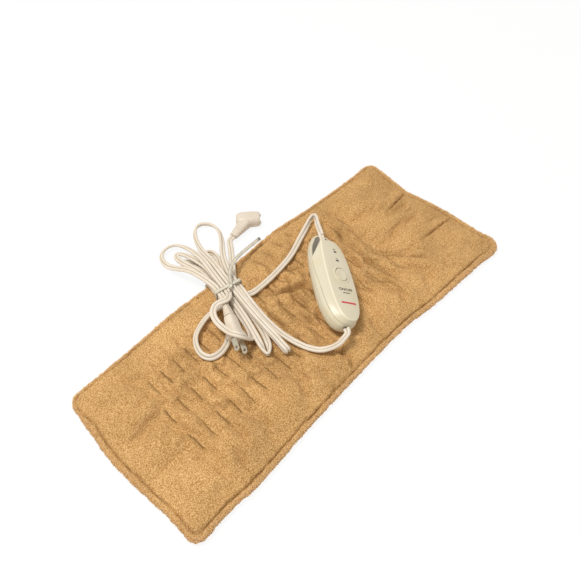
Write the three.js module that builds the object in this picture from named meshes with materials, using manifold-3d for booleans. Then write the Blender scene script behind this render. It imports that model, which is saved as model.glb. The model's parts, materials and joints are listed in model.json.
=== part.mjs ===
// Heating pad with a detachable cord set: a quilted plush pad, a hand controller with
// one push button, and two flat twin-lead cords bundled with a twist tie.
// Millimetres, +X along the pad, +Y across it, +Z up, origin under the pad's centre.

import * as THREE from 'three';
import { mergeVertices } from 'three/addons/utils/BufferGeometryUtils.js';
import Module from 'manifold-3d';

const wasm = await Module();
wasm.setup();

// General clearances
const SEAT_GAP = 0.3;
const SLIDE_GAP = 0.4;

// Pad
const PAD_LENGTH = 486;
const PAD_WIDTH = 203;
const PAD_CORNER = 14;
const PAD_CREST = 11;
const BACK_COVER_THICK = 2.4;
const BACK_COVER_INSET = 5;
const EDGE_MIDDLE_HEIGHT = 4.6;
const EDGE_ROLL_HEIGHT = 8.4;
const EDGE_ROLL_DEPTH = 3;
const SEAM_DEPTH = 7;
const SEAM_HEIGHT = 6.2;
const SHOULDER_DEPTH = 14;
const SHOULDER_HEIGHT = 8.8;
const CROWN_DEPTH = 30;

// Sewn tacks that hold the heating wire: short dashes in rows, across the pad's length
const TACK_COLUMNS = 19;
const TACK_PITCH = 17;
const TACK_START = -176.5;
const TACK_LENGTH = 20;
const TACK_ROWS = [-28, 10, 50];
const TACK_DEPTH = 2.6;
const CHANNEL_DEPTH = 1.2;

// Heater inside the pad
const CARRIER_THICK = 0.8;
const WIRE_DIAMETER = 2.2;
const WIRE_MARGIN = 39.5;
const WIRE_STRAIGHT = PAD_WIDTH - 2 * WIRE_MARGIN;
const WIRE_SIDES = 5;
const WIRE_TURN_STEPS = 4;
const LEAD_OFFSET = 15;
const CARRIER_MARGIN = 3;
const THERMOSTAT_LENGTH = 13;
const THERMOSTAT_WIDTH = 6;
const THERMOSTAT_PLACE = -104;

// Power inlet in the pad's far edge
const INLET_PLACE = -33;
const INLET_WIDTH = 26;
const INLET_DEPTH = 20;
const INLET_HEIGHT = 6.4;
const INLET_PROUD = 4.5;
const INLET_OUTER_EDGE = PAD_WIDTH / 2 + INLET_PROUD;
const PIN_DIAMETER = 1.8;
const PIN_LENGTH = 7;
const PIN_SPACING = 12;
const PIN_SOCKET_DIAMETER = 3.8;
const PIN_SOCKET_DEPTH = 9;

// Controller case, in its own frame: u along it towards the pad lead, v across, w up
const CASE_LENGTH = 129.4;
const CASE_WIDTH = 46.9;
const CASE_POWER = 2.6;
const CASE_TAPER = 0.0008;
const CASE_WALL = 2;
const CASE_POINTS = 40;
const PARTING_HEIGHT = 12.6;
const CASE_HEIGHT = 23.4;
const RIDGE_HEIGHT = 22;
const RIDGE_INSET = 7;
const FRONT_STEP = 8.4;
const CHAMFER_START = new THREE.Vector2(CASE_LENGTH / 2 - 7.1, 4.4);
const CHAMFER_END = new THREE.Vector2(CASE_LENGTH / 2 - 45, 27);
const PLATEAU_SHIFT = -2.95;
const PLATEAU_BACK = 3.5;
const PANEL_SHIFT = -4.2;
const CASE_PLACE = new THREE.Vector2(42.6, -2.1);
const CASE_HEADING = THREE.MathUtils.degToRad(53.1);
const CASE_ROLL = THREE.MathUtils.degToRad(28);

// Controller button, lights and inside pieces
const BUTTON_DIAMETER = 14;
const BUTTON_STRETCH = 1.25;
const BUTTON_RISE = 0.6;
const BUTTON_TRAVEL = 1;
const BUTTON_FLANGE = 1.6;
const BEZEL_WIDTH = 1.6;
const LIGHT_INSETS = [32.9, 45.7];
const LIGHT_PLACES = LIGHT_INSETS.map((inset) => CASE_LENGTH / 2 - inset);
const BUTTON_TO_LIGHT = 20;
const BUTTON_PLACE = LIGHT_PLACES[1] - BUTTON_TO_LIGHT;
const LIGHT_LENGTH = 3.4;
const LIGHT_WIDTH = 2.1;
const BOARD_MARGIN = 27.2;
const BOARD_LENGTH = CASE_LENGTH - 2 * BOARD_MARGIN;
const BOARD_WIDTH = 28;
const BOARD_THICK = 1.6;
const BOARD_PLACE = -3.5;
const BOARD_HEIGHT = 7;
const SCREW_INSETS = [16, 25];
const SCREW_PLACES = [SCREW_INSETS[0] - CASE_LENGTH / 2, CASE_LENGTH / 2 - SCREW_INSETS[1]];
const SCREW_HEAD_DIAMETER = 5.8;
const SCREW_SHANK_DIAMETER = 2.6;
const BOSS_DIAMETER = 9;
const BOSS_RISE = 2;
const SINK_DEPTH = 5;
const POST_DIAMETER = 5;
const POST_INSET = 5.5;
const RELAY = { length: 19, width: 15, height: 8, u: BOARD_PLACE - BOARD_LENGTH / 2 + 14, v: 3 };
const FUSE = { diameter: 5, length: 16, u: BOARD_PLACE + BOARD_LENGTH / 2 - 12, v: 8 };
const CAPACITOR = { diameter: 8, height: 8, u: FUSE.u - FUSE.length / 2 - 6, v: 8 };

// Flat twin-lead cord
const CORD_WIDTH = 7.2;
const CORD_THICK = 3.4;
const CORD_GROOVE = 1.1;

// Cord bundle: its waist, the strands' columns and layers there, and the twist tie
const WAIST_PLACE = new THREE.Vector2(-35, 76);
const WAIST_HEADING = THREE.MathUtils.degToRad(78);
const WAIST_HALF = 8;
const COLUMN_PITCH = 7.9;
const LAYER_PITCH = 4.2;
const TIE_WIDTH = 4;
const TIE_THICK = 0.8;
const LOBE_STEPS = 24;

// Wall plug
const PLUG_FACE = new THREE.Vector3(-75.2, 19, 24.4);
const PLUG_HEADING = THREE.MathUtils.degToRad(242.5);
const PLUG_ROLL = THREE.MathUtils.degToRad(-52);
const PLUG_LENGTH = 29;
const PLUG_WIDTH = 22;
const PLUG_THICK = 16;
const PLUG_RELIEF_LENGTH = 14;
const BLADE_SPACING = 12.7;
const BLADE_LENGTH = 17.5;
const BLADE_WIDTH = 6.35;
const BLADE_THICK = 1.5;
const BLADE_ROOT = 3;
const BLADE_EYE = 3;
const BLADE_EYE_INSET = 4.5;

// Angled pad connector
const CONNECTOR_PLACE = new THREE.Vector3(60.4, 143.5, 8.3);
const CONNECTOR_HEADING = THREE.MathUtils.degToRad(-42);
const CONNECTOR_LENGTH = 30;
const CONNECTOR_WIDTH = 20;
const CONNECTOR_THICK = 16;
const RELIEF_END = new THREE.Vector3(28.6, 136.4, 8.3);
const CONNECTOR_ENTRY = -7;
const CONNECTOR_NOSE = 1.2;
const CONTACT_DEPTH = 8;

const COLOURS = {
  plush: 0xc7a36a,
  cotton: 0xb99a68,
  felt: 0xd8d2c4,
  wire: 0xb9b4a8,
  ivory: 0xe6dfcb,
  cord: 0xe9dfc9,
  board: 0x3f6b45,
  black: 0x26262a,
  lamp: 0x7a2b20,
  smoke: 0x4a4238,
  steel: 0xb8bbbf,
  brass: 0xc9a85a,
  paper: 0xe3dcc8,
};

const root = new THREE.Group();

// Small helpers

function addPiece(parent, name, geometry, colour, roughness, metalness = 0) {
  const material = new THREE.MeshStandardMaterial({ color: COLOURS[colour], roughness, metalness });
  const mesh = new THREE.Mesh(geometry, material);
  mesh.name = name;
  parent.add(mesh);
  return mesh;
}

function solidOf(geometry) {
  const bare = geometry.clone();
  bare.deleteAttribute('normal');
  bare.deleteAttribute('uv');
  const merged = mergeVertices(bare, 1e-5);
  const mesh = new wasm.Mesh({
    numProp: 3,
    vertProperties: new Float32Array(merged.attributes.position.array),
    triVerts: new Uint32Array(merged.index.array),
  });
  return new wasm.Manifold(mesh);
}

function geometryOf(solid) {
  const mesh = solid.getMesh();
  const geometry = new THREE.BufferGeometry();
  geometry.setAttribute('position', new THREE.BufferAttribute(new Float32Array(mesh.vertProperties), 3));
  geometry.setIndex(new THREE.BufferAttribute(new Uint32Array(mesh.triVerts), 1));
  return geometry;
}

function cut(geometry, ...tools) {
  return geometryOf(tools.reduce((solid, tool) => solid.subtract(solidOf(tool)), solidOf(geometry)));
}

function join(geometry, ...others) {
  return geometryOf(others.reduce((solid, other) => solid.add(solidOf(other)), solidOf(geometry)));
}

function signedVolume(points, faces) {
  let sum = 0;
  for (let i = 0; i < faces.length; i += 3) {
    const [a, b, c] = [points[faces[i]], points[faces[i + 1]], points[faces[i + 2]]];
    sum += a.dot(b.clone().cross(c));
  }
  return sum / 6;
}

function closedMesh(points, faces) {
  if (signedVolume(points, faces) < 0) faces.reverse();
  const geometry = new THREE.BufferGeometry().setFromPoints(points);
  geometry.setIndex(faces);
  return geometry;
}

// A skin over rings of equal point counts, closed by a fan at each end
function loft(rings) {
  const count = rings[0].length;
  const points = rings.flat();
  const faces = [];
  for (let r = 0; r + 1 < rings.length; r += 1) {
    for (let i = 0; i < count; i += 1) {
      const a = r * count + i;
      const b = r * count + ((i + 1) % count);
      faces.push(a, b, b + count, a, b + count, a + count);
    }
  }
  for (const [ring, start] of [[rings[0], 0], [rings.at(-1), (rings.length - 1) * count]]) {
    const middle = points.length;
    points.push(ring.reduce((sum, p) => sum.add(p), new THREE.Vector3()).divideScalar(count));
    for (let i = 0; i < count; i += 1) {
      const next = start + ((i + 1) % count);
      faces.push(...(start === 0 ? [next, start + i, middle] : [start + i, next, middle]));
    }
  }
  return closedMesh(points, faces);
}

function box(length, width, height, x, y, z) {
  return new THREE.BoxGeometry(length, width, height).translate(x, y, z + height / 2);
}

function rod(diameter, height, x, y, z, sides = 20) {
  const shape = new THREE.CylinderGeometry(diameter / 2, diameter / 2, height, sides);
  return shape.rotateX(Math.PI / 2).translate(x, y, z + height / 2);
}

function turned(profile, x, y, sides = 28) {
  const points = profile.map(([radius, height]) => new THREE.Vector2(radius, height));
  return new THREE.LatheGeometry(points, sides).rotateX(Math.PI / 2).translate(x, y, 0);
}

// A rounded rectangle standing square to X, as a ring of points
function crossRing(x, width, height, count = 20, power = 4, middle = 0) {
  return Array.from({ length: count }, (_, i) => {
    const angle = ((i + 0.5) / count) * 2 * Math.PI;
    const [c, s] = [Math.cos(angle), Math.sin(angle)];
    const y = Math.sign(c) * Math.abs(c) ** (2 / power) * (width / 2);
    const z = Math.sign(s) * Math.abs(s) ** (2 / power) * (height / 2);
    return new THREE.Vector3(x, y, middle + z);
  });
}

function smooth(t) {
  const k = THREE.MathUtils.clamp(t, 0, 1);
  return k * k * (3 - 2 * k);
}

// Pad outline: a rounded rectangle whose edges wander as soft sewn edges do.
// Each list holds [share of the half side, outward offset].

const waveCurve = (list) => new THREE.SplineCurve(list.map(([a, b]) => new THREE.Vector2(a, b)));
const NEAR_WAVE = waveCurve([
  [-1, 0], [-0.82, -2.5], [-0.69, -0.5], [-0.4, -4.5], [0, -7], [0.29, -7], [0.46, -1.5], [0.83, 3.5],
  [0.92, 6.5], [1, 2],
]);
const FAR_WAVE = waveCurve([
  [-1, -2], [-0.82, -1.5], [-0.6, 0.5], [-0.4, 3.5], [-0.24, 2.5], [0, 4], [0.29, 6.5], [0.5, 1.5],
  [0.83, -2.5], [1, -1.5],
]);
const LEFT_WAVE = waveCurve([[-1, 0], [-0.64, -1.5], [-0.35, 0.5], [0.15, 2.5], [0.54, -1.5], [1, -6]]);
const RIGHT_WAVE = waveCurve([
  [-1, 0], [-0.74, -3.5], [-0.35, -2.5], [0.05, -4.5], [0.27, -7.5], [0.5, -4.5], [0.8, 0.5], [1, 2],
]);

function waveAt(curve, share) {
  const points = curve.points;
  const last = points.length - 1;
  let i = 0;
  while (i < last - 1 && share > points[i + 1].x) i += 1;
  const t = (share - points[i].x) / (points[i + 1].x - points[i].x);
  return curve.getPoint((i + THREE.MathUtils.clamp(t, 0, 1)) / last).y;
}

// From the plain rectangle (s, t) to the pad's plan, before it is centred on the origin
function wavyPlan(s, t) {
  const [halfX, halfY] = [PAD_LENGTH / 2, PAD_WIDTH / 2];
  const overX = Math.max(0, Math.abs(s) - (halfX - PAD_CORNER));
  const overY = Math.max(0, Math.abs(t) - (halfY - PAD_CORNER));
  const round = overX > 0 && overY > 0 ? Math.max(overX, overY) / Math.hypot(overX, overY) : 1;
  const x = Math.sign(s) * (Math.abs(s) - overX + overX * round);
  const y = Math.sign(t) * (Math.abs(t) - overY + overY * round);
  const endWave = waveAt(x < 0 ? LEFT_WAVE : RIGHT_WAVE, y / halfY) * Math.abs(x / halfX) ** 3;
  const sideWave = waveAt(y < 0 ? NEAR_WAVE : FAR_WAVE, x / halfX) * Math.abs(y / halfY) ** 3;
  return new THREE.Vector2(x + Math.sign(x) * endWave, y + Math.sign(y) * sideWave);
}

const planCentre = (() => {
  const steps = 200;
  const outline = new THREE.Box2();
  for (let i = 0; i <= steps; i += 1) {
    const share = (2 * i) / steps - 1;
    for (const side of [-1, 1]) {
      outline.expandByPoint(wavyPlan((share * PAD_LENGTH) / 2, (side * PAD_WIDTH) / 2));
      outline.expandByPoint(wavyPlan((side * PAD_LENGTH) / 2, (share * PAD_WIDTH) / 2));
    }
  }
  return outline.getCenter(new THREE.Vector2());
})();

function padPlan(s, t) {
  return wavyPlan(s, t).sub(planCentre);
}

function edgeDistance(s, t) {
  const insideX = PAD_LENGTH / 2 - Math.abs(s);
  const insideY = PAD_WIDTH / 2 - Math.abs(t);
  return Math.min(insideX, insideY);
}

// The pad's top: a rolled edge, a sewn groove, a crown, then the quilted channels
const EDGE_PROFILE = [
  [0, EDGE_MIDDLE_HEIGHT], [EDGE_ROLL_DEPTH, EDGE_ROLL_HEIGHT], [SEAM_DEPTH, SEAM_HEIGHT],
  [SHOULDER_DEPTH, SHOULDER_HEIGHT], [CROWN_DEPTH, PAD_CREST],
];

function edgeHeight(inside) {
  for (let i = 1; i < EDGE_PROFILE.length; i += 1) {
    const [[d0, h0], [d1, h1]] = [EDGE_PROFILE[i - 1], EDGE_PROFILE[i]];
    if (inside <= d1) return THREE.MathUtils.lerp(h0, h1, (inside - d0) / (d1 - d0));
  }
  return PAD_CREST;
}

// Swells of the loose cloth: [x, y, rise, reach along x, reach along y]
const SWELLS = [
  [30.7, 6.1, 9, 15, 21], [62, 88, 2, 26, 8], [186, -18, 2, 20, 26], [214, 60, -1.5, 30, 8],
  [200, -34, -1.8, 32, 5], [208, 30, -1.8, 26, 5], [-215, -40, -0.8, 16, 30],
];

function padTop(s, t) {
  const inside = edgeDistance(s, t);
  let height = edgeHeight(inside);
  const column = (s - TACK_START) / TACK_PITCH;
  if (column > -0.6 && column < TACK_COLUMNS - 0.4) {
    const valley = Math.cos(Math.PI * (column - Math.round(column))) ** 2;
    const near = Math.min(...TACK_ROWS.map((row) => Math.abs(t - row)));
    const tack = 1 - smooth((near - TACK_LENGTH / 2) / 6);
    const fade = smooth((inside - SHOULDER_DEPTH) / CROWN_DEPTH);
    height -= valley * fade * THREE.MathUtils.lerp(CHANNEL_DEPTH, TACK_DEPTH, tack);
  }
  for (const [x, y, rise, reachX, reachY] of SWELLS) {
    const k = ((s - x) / reachX) ** 2 + ((t - y) / reachY) ** 2;
    height += rise * Math.exp(-k) * smooth((inside - SEAM_DEPTH) / CROWN_DEPTH);
  }
  return height;
}

function padLines(half, middle) {
  const edge = [0, EDGE_ROLL_DEPTH, SEAM_DEPTH, SHOULDER_DEPTH];
  return [...edge.map((d) => d - half), ...middle, ...edge.reverse().map((d) => half - d)];
}

const tackEnd = TACK_START + TACK_PITCH * (TACK_COLUMNS - 1);
const halfPitch = TACK_PITCH / 2;
const columnLines = Array.from({ length: TACK_COLUMNS * 2 + 1 }, (_, i) => TACK_START + (i - 1) * halfPitch);
const LINES_X = padLines(PAD_LENGTH / 2, [
  CROWN_DEPTH - PAD_LENGTH / 2, ...columnLines, ...[18, 36, 54, 70].map((d) => tackEnd + d),
  PAD_LENGTH / 2 - CROWN_DEPTH,
]);
const rowLines = TACK_ROWS.flatMap((row) => [row - TACK_LENGTH / 2 - 2, row, row + TACK_LENGTH / 2 + 2]);
const crownLine = PAD_WIDTH / 2 - CROWN_DEPTH + 4;
const LINES_Y = padLines(PAD_WIDTH / 2, [-crownLine, ...rowLines, crownLine]);

function rectangleWalk(linesX, linesY) {
  const walk = [];
  const [minX, maxX, minY, maxY] = [linesX[0], linesX.at(-1), linesY[0], linesY.at(-1)];
  for (const x of linesX.slice(0, -1)) walk.push([x, minY]);
  for (const y of linesY.slice(0, -1)) walk.push([maxX, y]);
  for (const x of linesX.slice(1).reverse()) walk.push([x, maxY]);
  for (const y of linesY.slice(1).reverse()) walk.push([minX, y]);
  return walk;
}

function padRing(inset, z) {
  const shrinkX = 1 - inset / (PAD_LENGTH / 2);
  const shrinkY = 1 - inset / (PAD_WIDTH / 2);
  return rectangleWalk(LINES_X, LINES_Y).map(([s, t]) => {
    const plan = padPlan(s * shrinkX, t * shrinkY);
    return new THREE.Vector3(plan.x, plan.y, z);
  });
}

function padTopGeometry() {
  const points = [];
  for (const t of LINES_Y) {
    for (const s of LINES_X) {
      const plan = padPlan(s, t);
      points.push(new THREE.Vector3(plan.x, plan.y, padTop(s, t)));
    }
  }
  const across = LINES_X.length;
  const faces = [];
  for (let j = 0; j + 1 < LINES_Y.length; j += 1) {
    for (let i = 0; i + 1 < across; i += 1) {
      const a = j * across + i;
      faces.push(a, a + 1, a + across + 1, a, a + across + 1, a + across);
    }
  }
  const pointAt = ([s, t]) => LINES_Y.indexOf(t) * across + LINES_X.indexOf(s);
  const rim = rectangleWalk(LINES_X, LINES_Y).map(pointAt);
  const under = padRing(EDGE_ROLL_DEPTH, BACK_COVER_THICK + SEAT_GAP);
  const start = points.length;
  points.push(...under, new THREE.Vector3(0, 0, BACK_COVER_THICK + SEAT_GAP));
  rim.forEach((a, i) => {
    const k = (i + 1) % rim.length;
    faces.push(a, start + i, start + k, a, start + k, rim[k]);
    faces.push(start + k, start + i, points.length - 1);
  });
  return closedMesh(points, faces);
}

// A tube with a polygon section along samples of { point, side }, side being its width direction
function sweep(section, samples) {
  const rings = samples.map(({ point, side }, i) => {
    const before = samples[Math.max(0, i - 1)].point;
    const after = samples[Math.min(samples.length - 1, i + 1)].point;
    const ahead = after.clone().sub(before).normalize();
    const wide = side.clone().addScaledVector(ahead, -side.dot(ahead)).normalize();
    const thick = new THREE.Vector3().crossVectors(ahead, wide);
    return section.map(([a, b]) => point.clone().addScaledVector(wide, a).addScaledVector(thick, b));
  });
  return loft(rings);
}

function roundSection(diameter, sides) {
  return Array.from({ length: sides }, (_, i) => {
    const angle = (i / sides) * 2 * Math.PI;
    return [Math.cos(angle) * (diameter / 2), Math.sin(angle) * (diameter / 2)];
  });
}

// Pad pieces

const carrierFloor = BACK_COVER_THICK + SEAT_GAP;
const wireHeight = carrierFloor + CARRIER_THICK + SEAT_GAP + WIRE_DIAMETER / 2;
const pocketTop = wireHeight + WIRE_DIAMETER / 2 + SEAT_GAP;
const runCount = TACK_COLUMNS + 1;
const firstRun = TACK_START - TACK_PITCH / 2;
const lastRun = firstRun + TACK_PITCH * (runCount - 1);
const leadLine = WIRE_STRAIGHT / 2 + LEAD_OFFSET;
const carrierHalfX = (lastRun - firstRun + WIRE_DIAMETER) / 2 + CARRIER_MARGIN;
const carrierMiddle = (firstRun + lastRun) / 2;
const carrierFar = leadLine + CARRIER_MARGIN;
const carrierNear = -WIRE_STRAIGHT / 2 - TACK_PITCH / 2 - WIRE_DIAMETER / 2 - CARRIER_MARGIN;
const inletInner = INLET_OUTER_EDGE - INLET_DEPTH;
const leadPlaces = [INLET_PLACE - PIN_SPACING / 2, INLET_PLACE + PIN_SPACING / 2];

function wireSamples(points) {
  const up = new THREE.Vector3(0, 0, 1);
  return points.map(([x, y]) => ({ point: new THREE.Vector3(x, y, wireHeight), side: up }));
}

function heaterRoute() {
  const route = [];
  route.push([THERMOSTAT_PLACE - THERMOSTAT_LENGTH / 2 - SEAT_GAP, leadLine]);
  route.push([firstRun + 3, leadLine], [firstRun, leadLine - 3]);
  for (let k = 0; k < runCount; k += 1) {
    const x = firstRun + TACK_PITCH * k;
    const down = k % 2 === 0 ? 1 : -1;
    route.push([x, (down * WIRE_STRAIGHT) / 2]);
    route.push([x, (-down * WIRE_STRAIGHT) / 2]);
    if (k === runCount - 1) break;
    for (let i = 1; i < WIRE_TURN_STEPS; i += 1) {
      const angle = (i / WIRE_TURN_STEPS) * Math.PI;
      const turnX = x + halfPitch * (1 - Math.cos(angle));
      route.push([turnX, -down * (WIRE_STRAIGHT / 2 + halfPitch * Math.sin(angle))]);
    }
  }
  route.push([lastRun, leadLine - 3], [lastRun - 3, leadLine]);
  route.push([leadPlaces[1] + 3, leadLine], [leadPlaces[1], leadLine + 3]);
  route.push([leadPlaces[1], inletInner - SEAT_GAP]);
  return route;
}

function makePad() {
  const pocket = box(
    2 * (carrierHalfX + CARRIER_MARGIN), carrierFar - carrierNear + 2 * CARRIER_MARGIN, pocketTop,
    carrierMiddle, (carrierFar + carrierNear) / 2, 0,
  );
  const notchWidth = INLET_WIDTH + 2 * SEAT_GAP;
  const notchMiddle = inletInner - SEAT_GAP + INLET_DEPTH;
  const notch = box(notchWidth, INLET_DEPTH * 2, PAD_CREST * 3, INLET_PLACE, notchMiddle, 0);
  const leadWay = box(PIN_SPACING * 2, INLET_DEPTH, pocketTop, INLET_PLACE, inletInner, 0);
  addPiece(root, 'pad_cover_top', cut(padTopGeometry(), pocket, notch, leadWay), 'plush', 0.95);

  const back = loft([
    padRing(BACK_COVER_INSET, 0), padRing(EDGE_ROLL_DEPTH / 2, BACK_COVER_THICK / 2),
    padRing(EDGE_ROLL_DEPTH / 2, BACK_COVER_THICK),
  ]);
  addPiece(root, 'pad_cover_back', back, 'cotton', 0.95);

  const carrier = box(
    2 * carrierHalfX, carrierFar - carrierNear, CARRIER_THICK,
    carrierMiddle, (carrierFar + carrierNear) / 2, carrierFloor,
  );
  addPiece(root, 'heater_carrier', carrier, 'felt', 0.95);

  const wireSection = roundSection(WIRE_DIAMETER, WIRE_SIDES);
  addPiece(root, 'heater_wire', sweep(wireSection, wireSamples(heaterRoute())), 'wire', 0.6);
  const leadRoute = [
    [THERMOSTAT_PLACE + THERMOSTAT_LENGTH / 2 + SEAT_GAP, leadLine], [leadPlaces[0] - 3, leadLine],
    [leadPlaces[0], leadLine + 3], [leadPlaces[0], inletInner - SEAT_GAP],
  ];
  addPiece(root, 'heater_lead', sweep(wireSection, wireSamples(leadRoute)), 'wire', 0.6);

  const thermostat = loft([-1, -0.8, 0.8, 1].map((share) => {
    const size = Math.abs(share) === 1 ? 0.7 : 1;
    const x = (share * THERMOSTAT_LENGTH) / 2;
    return crossRing(x, THERMOSTAT_WIDTH * size, WIRE_DIAMETER * size, 12);
  })).translate(THERMOSTAT_PLACE, leadLine, wireHeight);
  addPiece(root, 'thermostat', thermostat, 'black', 0.5);
}

function makeInlet() {
  const floor = BACK_COVER_THICK + SEAT_GAP;
  const middle = floor + INLET_HEIGHT / 2;
  const body = loft([0, 1.5, INLET_DEPTH - 2, INLET_DEPTH].map((y, i) => {
    const trim = i === 0 || i === 3 ? 1.2 : 0;
    return crossRing(y, INLET_WIDTH - trim, INLET_HEIGHT - trim, 24, 7);
  })).rotateZ(Math.PI / 2).translate(INLET_PLACE, inletInner, middle);
  const bores = leadPlaces.map((x) => {
    const bore = rod(PIN_SOCKET_DIAMETER, PIN_SOCKET_DEPTH * 2, 0, 0, -PIN_SOCKET_DEPTH);
    return bore.rotateX(Math.PI / 2).translate(x, INLET_OUTER_EDGE, middle);
  });
  addPiece(root, 'inlet_housing', cut(body, ...bores), 'ivory', 0.5);
  leadPlaces.forEach((x, i) => {
    const bottom = INLET_OUTER_EDGE - PIN_SOCKET_DEPTH + SEAT_GAP;
    const pin = rod(PIN_DIAMETER, PIN_LENGTH, 0, 0, -PIN_LENGTH / 2, 12);
    pin.rotateX(Math.PI / 2).translate(x, bottom + PIN_LENGTH / 2, middle);
    addPiece(root, `inlet_pin_${i + 1}`, pin, 'brass', 0.3, 1);
  });
}

// Controller case

const controller = new THREE.Group();

function caseRing(inset, w, { front = 0, back = 0, shift = 0 } = {}) {
  return Array.from({ length: CASE_POINTS }, (_, i) => {
    const angle = (i / CASE_POINTS) * 2 * Math.PI;
    const [c, s] = [Math.cos(angle), Math.sin(angle)];
    const reach = CASE_LENGTH / 2 - inset - (c > 0 ? front : -back);
    const u = Math.sign(c) * Math.abs(c) ** (2 / CASE_POWER) * reach;
    const v = Math.sign(s) * Math.abs(s) ** (2 / CASE_POWER) * (CASE_WIDTH / 2 - inset);
    return new THREE.Vector3(u, v * (1 - CASE_TAPER * u) + shift, w);
  });
}

const UPPER_FOOT = PARTING_HEIGHT + SEAT_GAP;
function upperRing(inset, w, share) {
  return caseRing(inset, w, { front: FRONT_STEP, back: PLATEAU_BACK * share, shift: PLATEAU_SHIFT * share });
}

const lowerOuter = [[6, 0], [2.6, 1.2], [0.8, 4], [0, 8], [0.3, PARTING_HEIGHT]];
const upperOuter = [
  [0.3, UPPER_FOOT, 0], [2, UPPER_FOOT + 3.1, 0.19], [4.6, UPPER_FOOT + 6.5, 0.56],
  [RIDGE_INSET, RIDGE_HEIGHT, 1], [RIDGE_INSET + 1.2, RIDGE_HEIGHT + 0.6, 1],
  [RIDGE_INSET + 9, CASE_HEIGHT, 1],
];
const ceiling = RIDGE_HEIGHT - 1.2;
const plateauHeight = CASE_HEIGHT;
const glandHeight = PARTING_HEIGHT + SEAT_GAP / 2;
const GLAND_WIDTH = CORD_WIDTH + 3.2;
const GLAND_THICK = CORD_THICK + 3.4;
const GLAND_FLANGE = 2.6;
const GLAND_PROUD = 1;
const boardTop = BOARD_HEIGHT + BOARD_THICK;
const partFloor = boardTop + SEAT_GAP;
const buttonHole = BUTTON_DIAMETER + 2 * SLIDE_GAP;

// The two cord bushings: end plane, inner flange place and direction
const caseEnd = CASE_LENGTH / 2;
const GLANDS = [
  { name: 'controller_gland_pad', end: caseEnd, flange: caseEnd - FRONT_STEP - CASE_WALL - 8, way: 1 },
  { name: 'controller_gland_mains', end: caseEnd, flange: caseEnd - CASE_WALL - 8, way: -1 },
];

function glandRing(u, width, thick) {
  return crossRing(u, width, thick, 20, 4, glandHeight);
}

function glandCut(gland) {
  const [width, thick] = [GLAND_WIDTH + 2 * SEAT_GAP, GLAND_THICK + 2 * SEAT_GAP];
  const ends = [gland.flange, gland.end + 4];
  return loft(ends.map((u) => glandRing(u * gland.way, width, thick)));
}

function makeGland(gland) {
  const neck = gland.flange + GLAND_FLANGE;
  const wide = [GLAND_WIDTH + 3, GLAND_THICK + 3];
  const slim = [GLAND_WIDTH, GLAND_THICK];
  const stations = [
    [gland.flange, ...wide], [neck, ...wide], [neck + 0.05, ...slim], [gland.end + GLAND_PROUD, ...slim],
  ];
  const rings = stations.map(([u, width, thick]) => glandRing(u * gland.way, width, thick));
  addPiece(controller, gland.name, loft(rings), 'ivory', 0.55);
}

const floorMiddle = CASE_WALL / 2;
const screwBore = SCREW_SHANK_DIAMETER + 2 * SEAT_GAP;

function makeLowerShell() {
  const outer = loft(lowerOuter.map(([inset, w]) => caseRing(inset, w)));
  const inner = loft([
    caseRing(6 + CASE_WALL, CASE_WALL), caseRing(2.6 + CASE_WALL, CASE_WALL + 1.2),
    caseRing(0.8 + CASE_WALL, CASE_WALL + 3.6), caseRing(0.3 + CASE_WALL, PARTING_HEIGHT + 1),
  ]);
  const hollow = cut(outer, inner);
  const posts = [-1, 1].flatMap((a) => [-1, 1].map((b) => {
    const u = BOARD_PLACE + a * (BOARD_LENGTH / 2 - POST_INSET);
    const v = b * (BOARD_WIDTH / 2 - POST_INSET);
    return rod(POST_DIAMETER, BOARD_HEIGHT - SEAT_GAP - floorMiddle, u, v, floorMiddle, 12);
  }));
  const bossHeight = PARTING_HEIGHT + BOSS_RISE - floorMiddle;
  const bosses = SCREW_PLACES.map((u) => rod(BOSS_DIAMETER, bossHeight, u, 0, floorMiddle));
  const bores = SCREW_PLACES.map((u) => rod(screwBore, CASE_HEIGHT, u, 0, -1, 14));
  const sinks = SCREW_PLACES.map((u) => rod(SCREW_HEAD_DIAMETER + 2 * SEAT_GAP, SINK_DEPTH + 1, u, 0, -1));
  const joined = join(hollow, ...posts, ...bosses);
  const opened = cut(joined, ...bores, ...sinks, ...GLANDS.map(glandCut));
  addPiece(controller, 'controller_shell_lower', opened, 'ivory', 0.42);
}

// What lies beyond the upper shell's slanted end, which is cut straight from the pad lead to the left side
function chamferBlock(inset) {
  const slant = CHAMFER_START.clone().sub(CHAMFER_END).angle();
  const block = box(2 * CASE_LENGTH, CASE_LENGTH, 2 * CASE_HEIGHT, 0, CASE_LENGTH / 2 - inset, 0);
  return block.rotateZ(slant).translate(CHAMFER_START.x, CHAMFER_START.y, 0);
}

// Stretches a turned shape along the case and sets it in the middle of the panel
function onPanel(shape) {
  return shape.scale(BUTTON_STRETCH, 1, 1).translate(BUTTON_PLACE, PANEL_SHIFT, 0);
}

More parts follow.
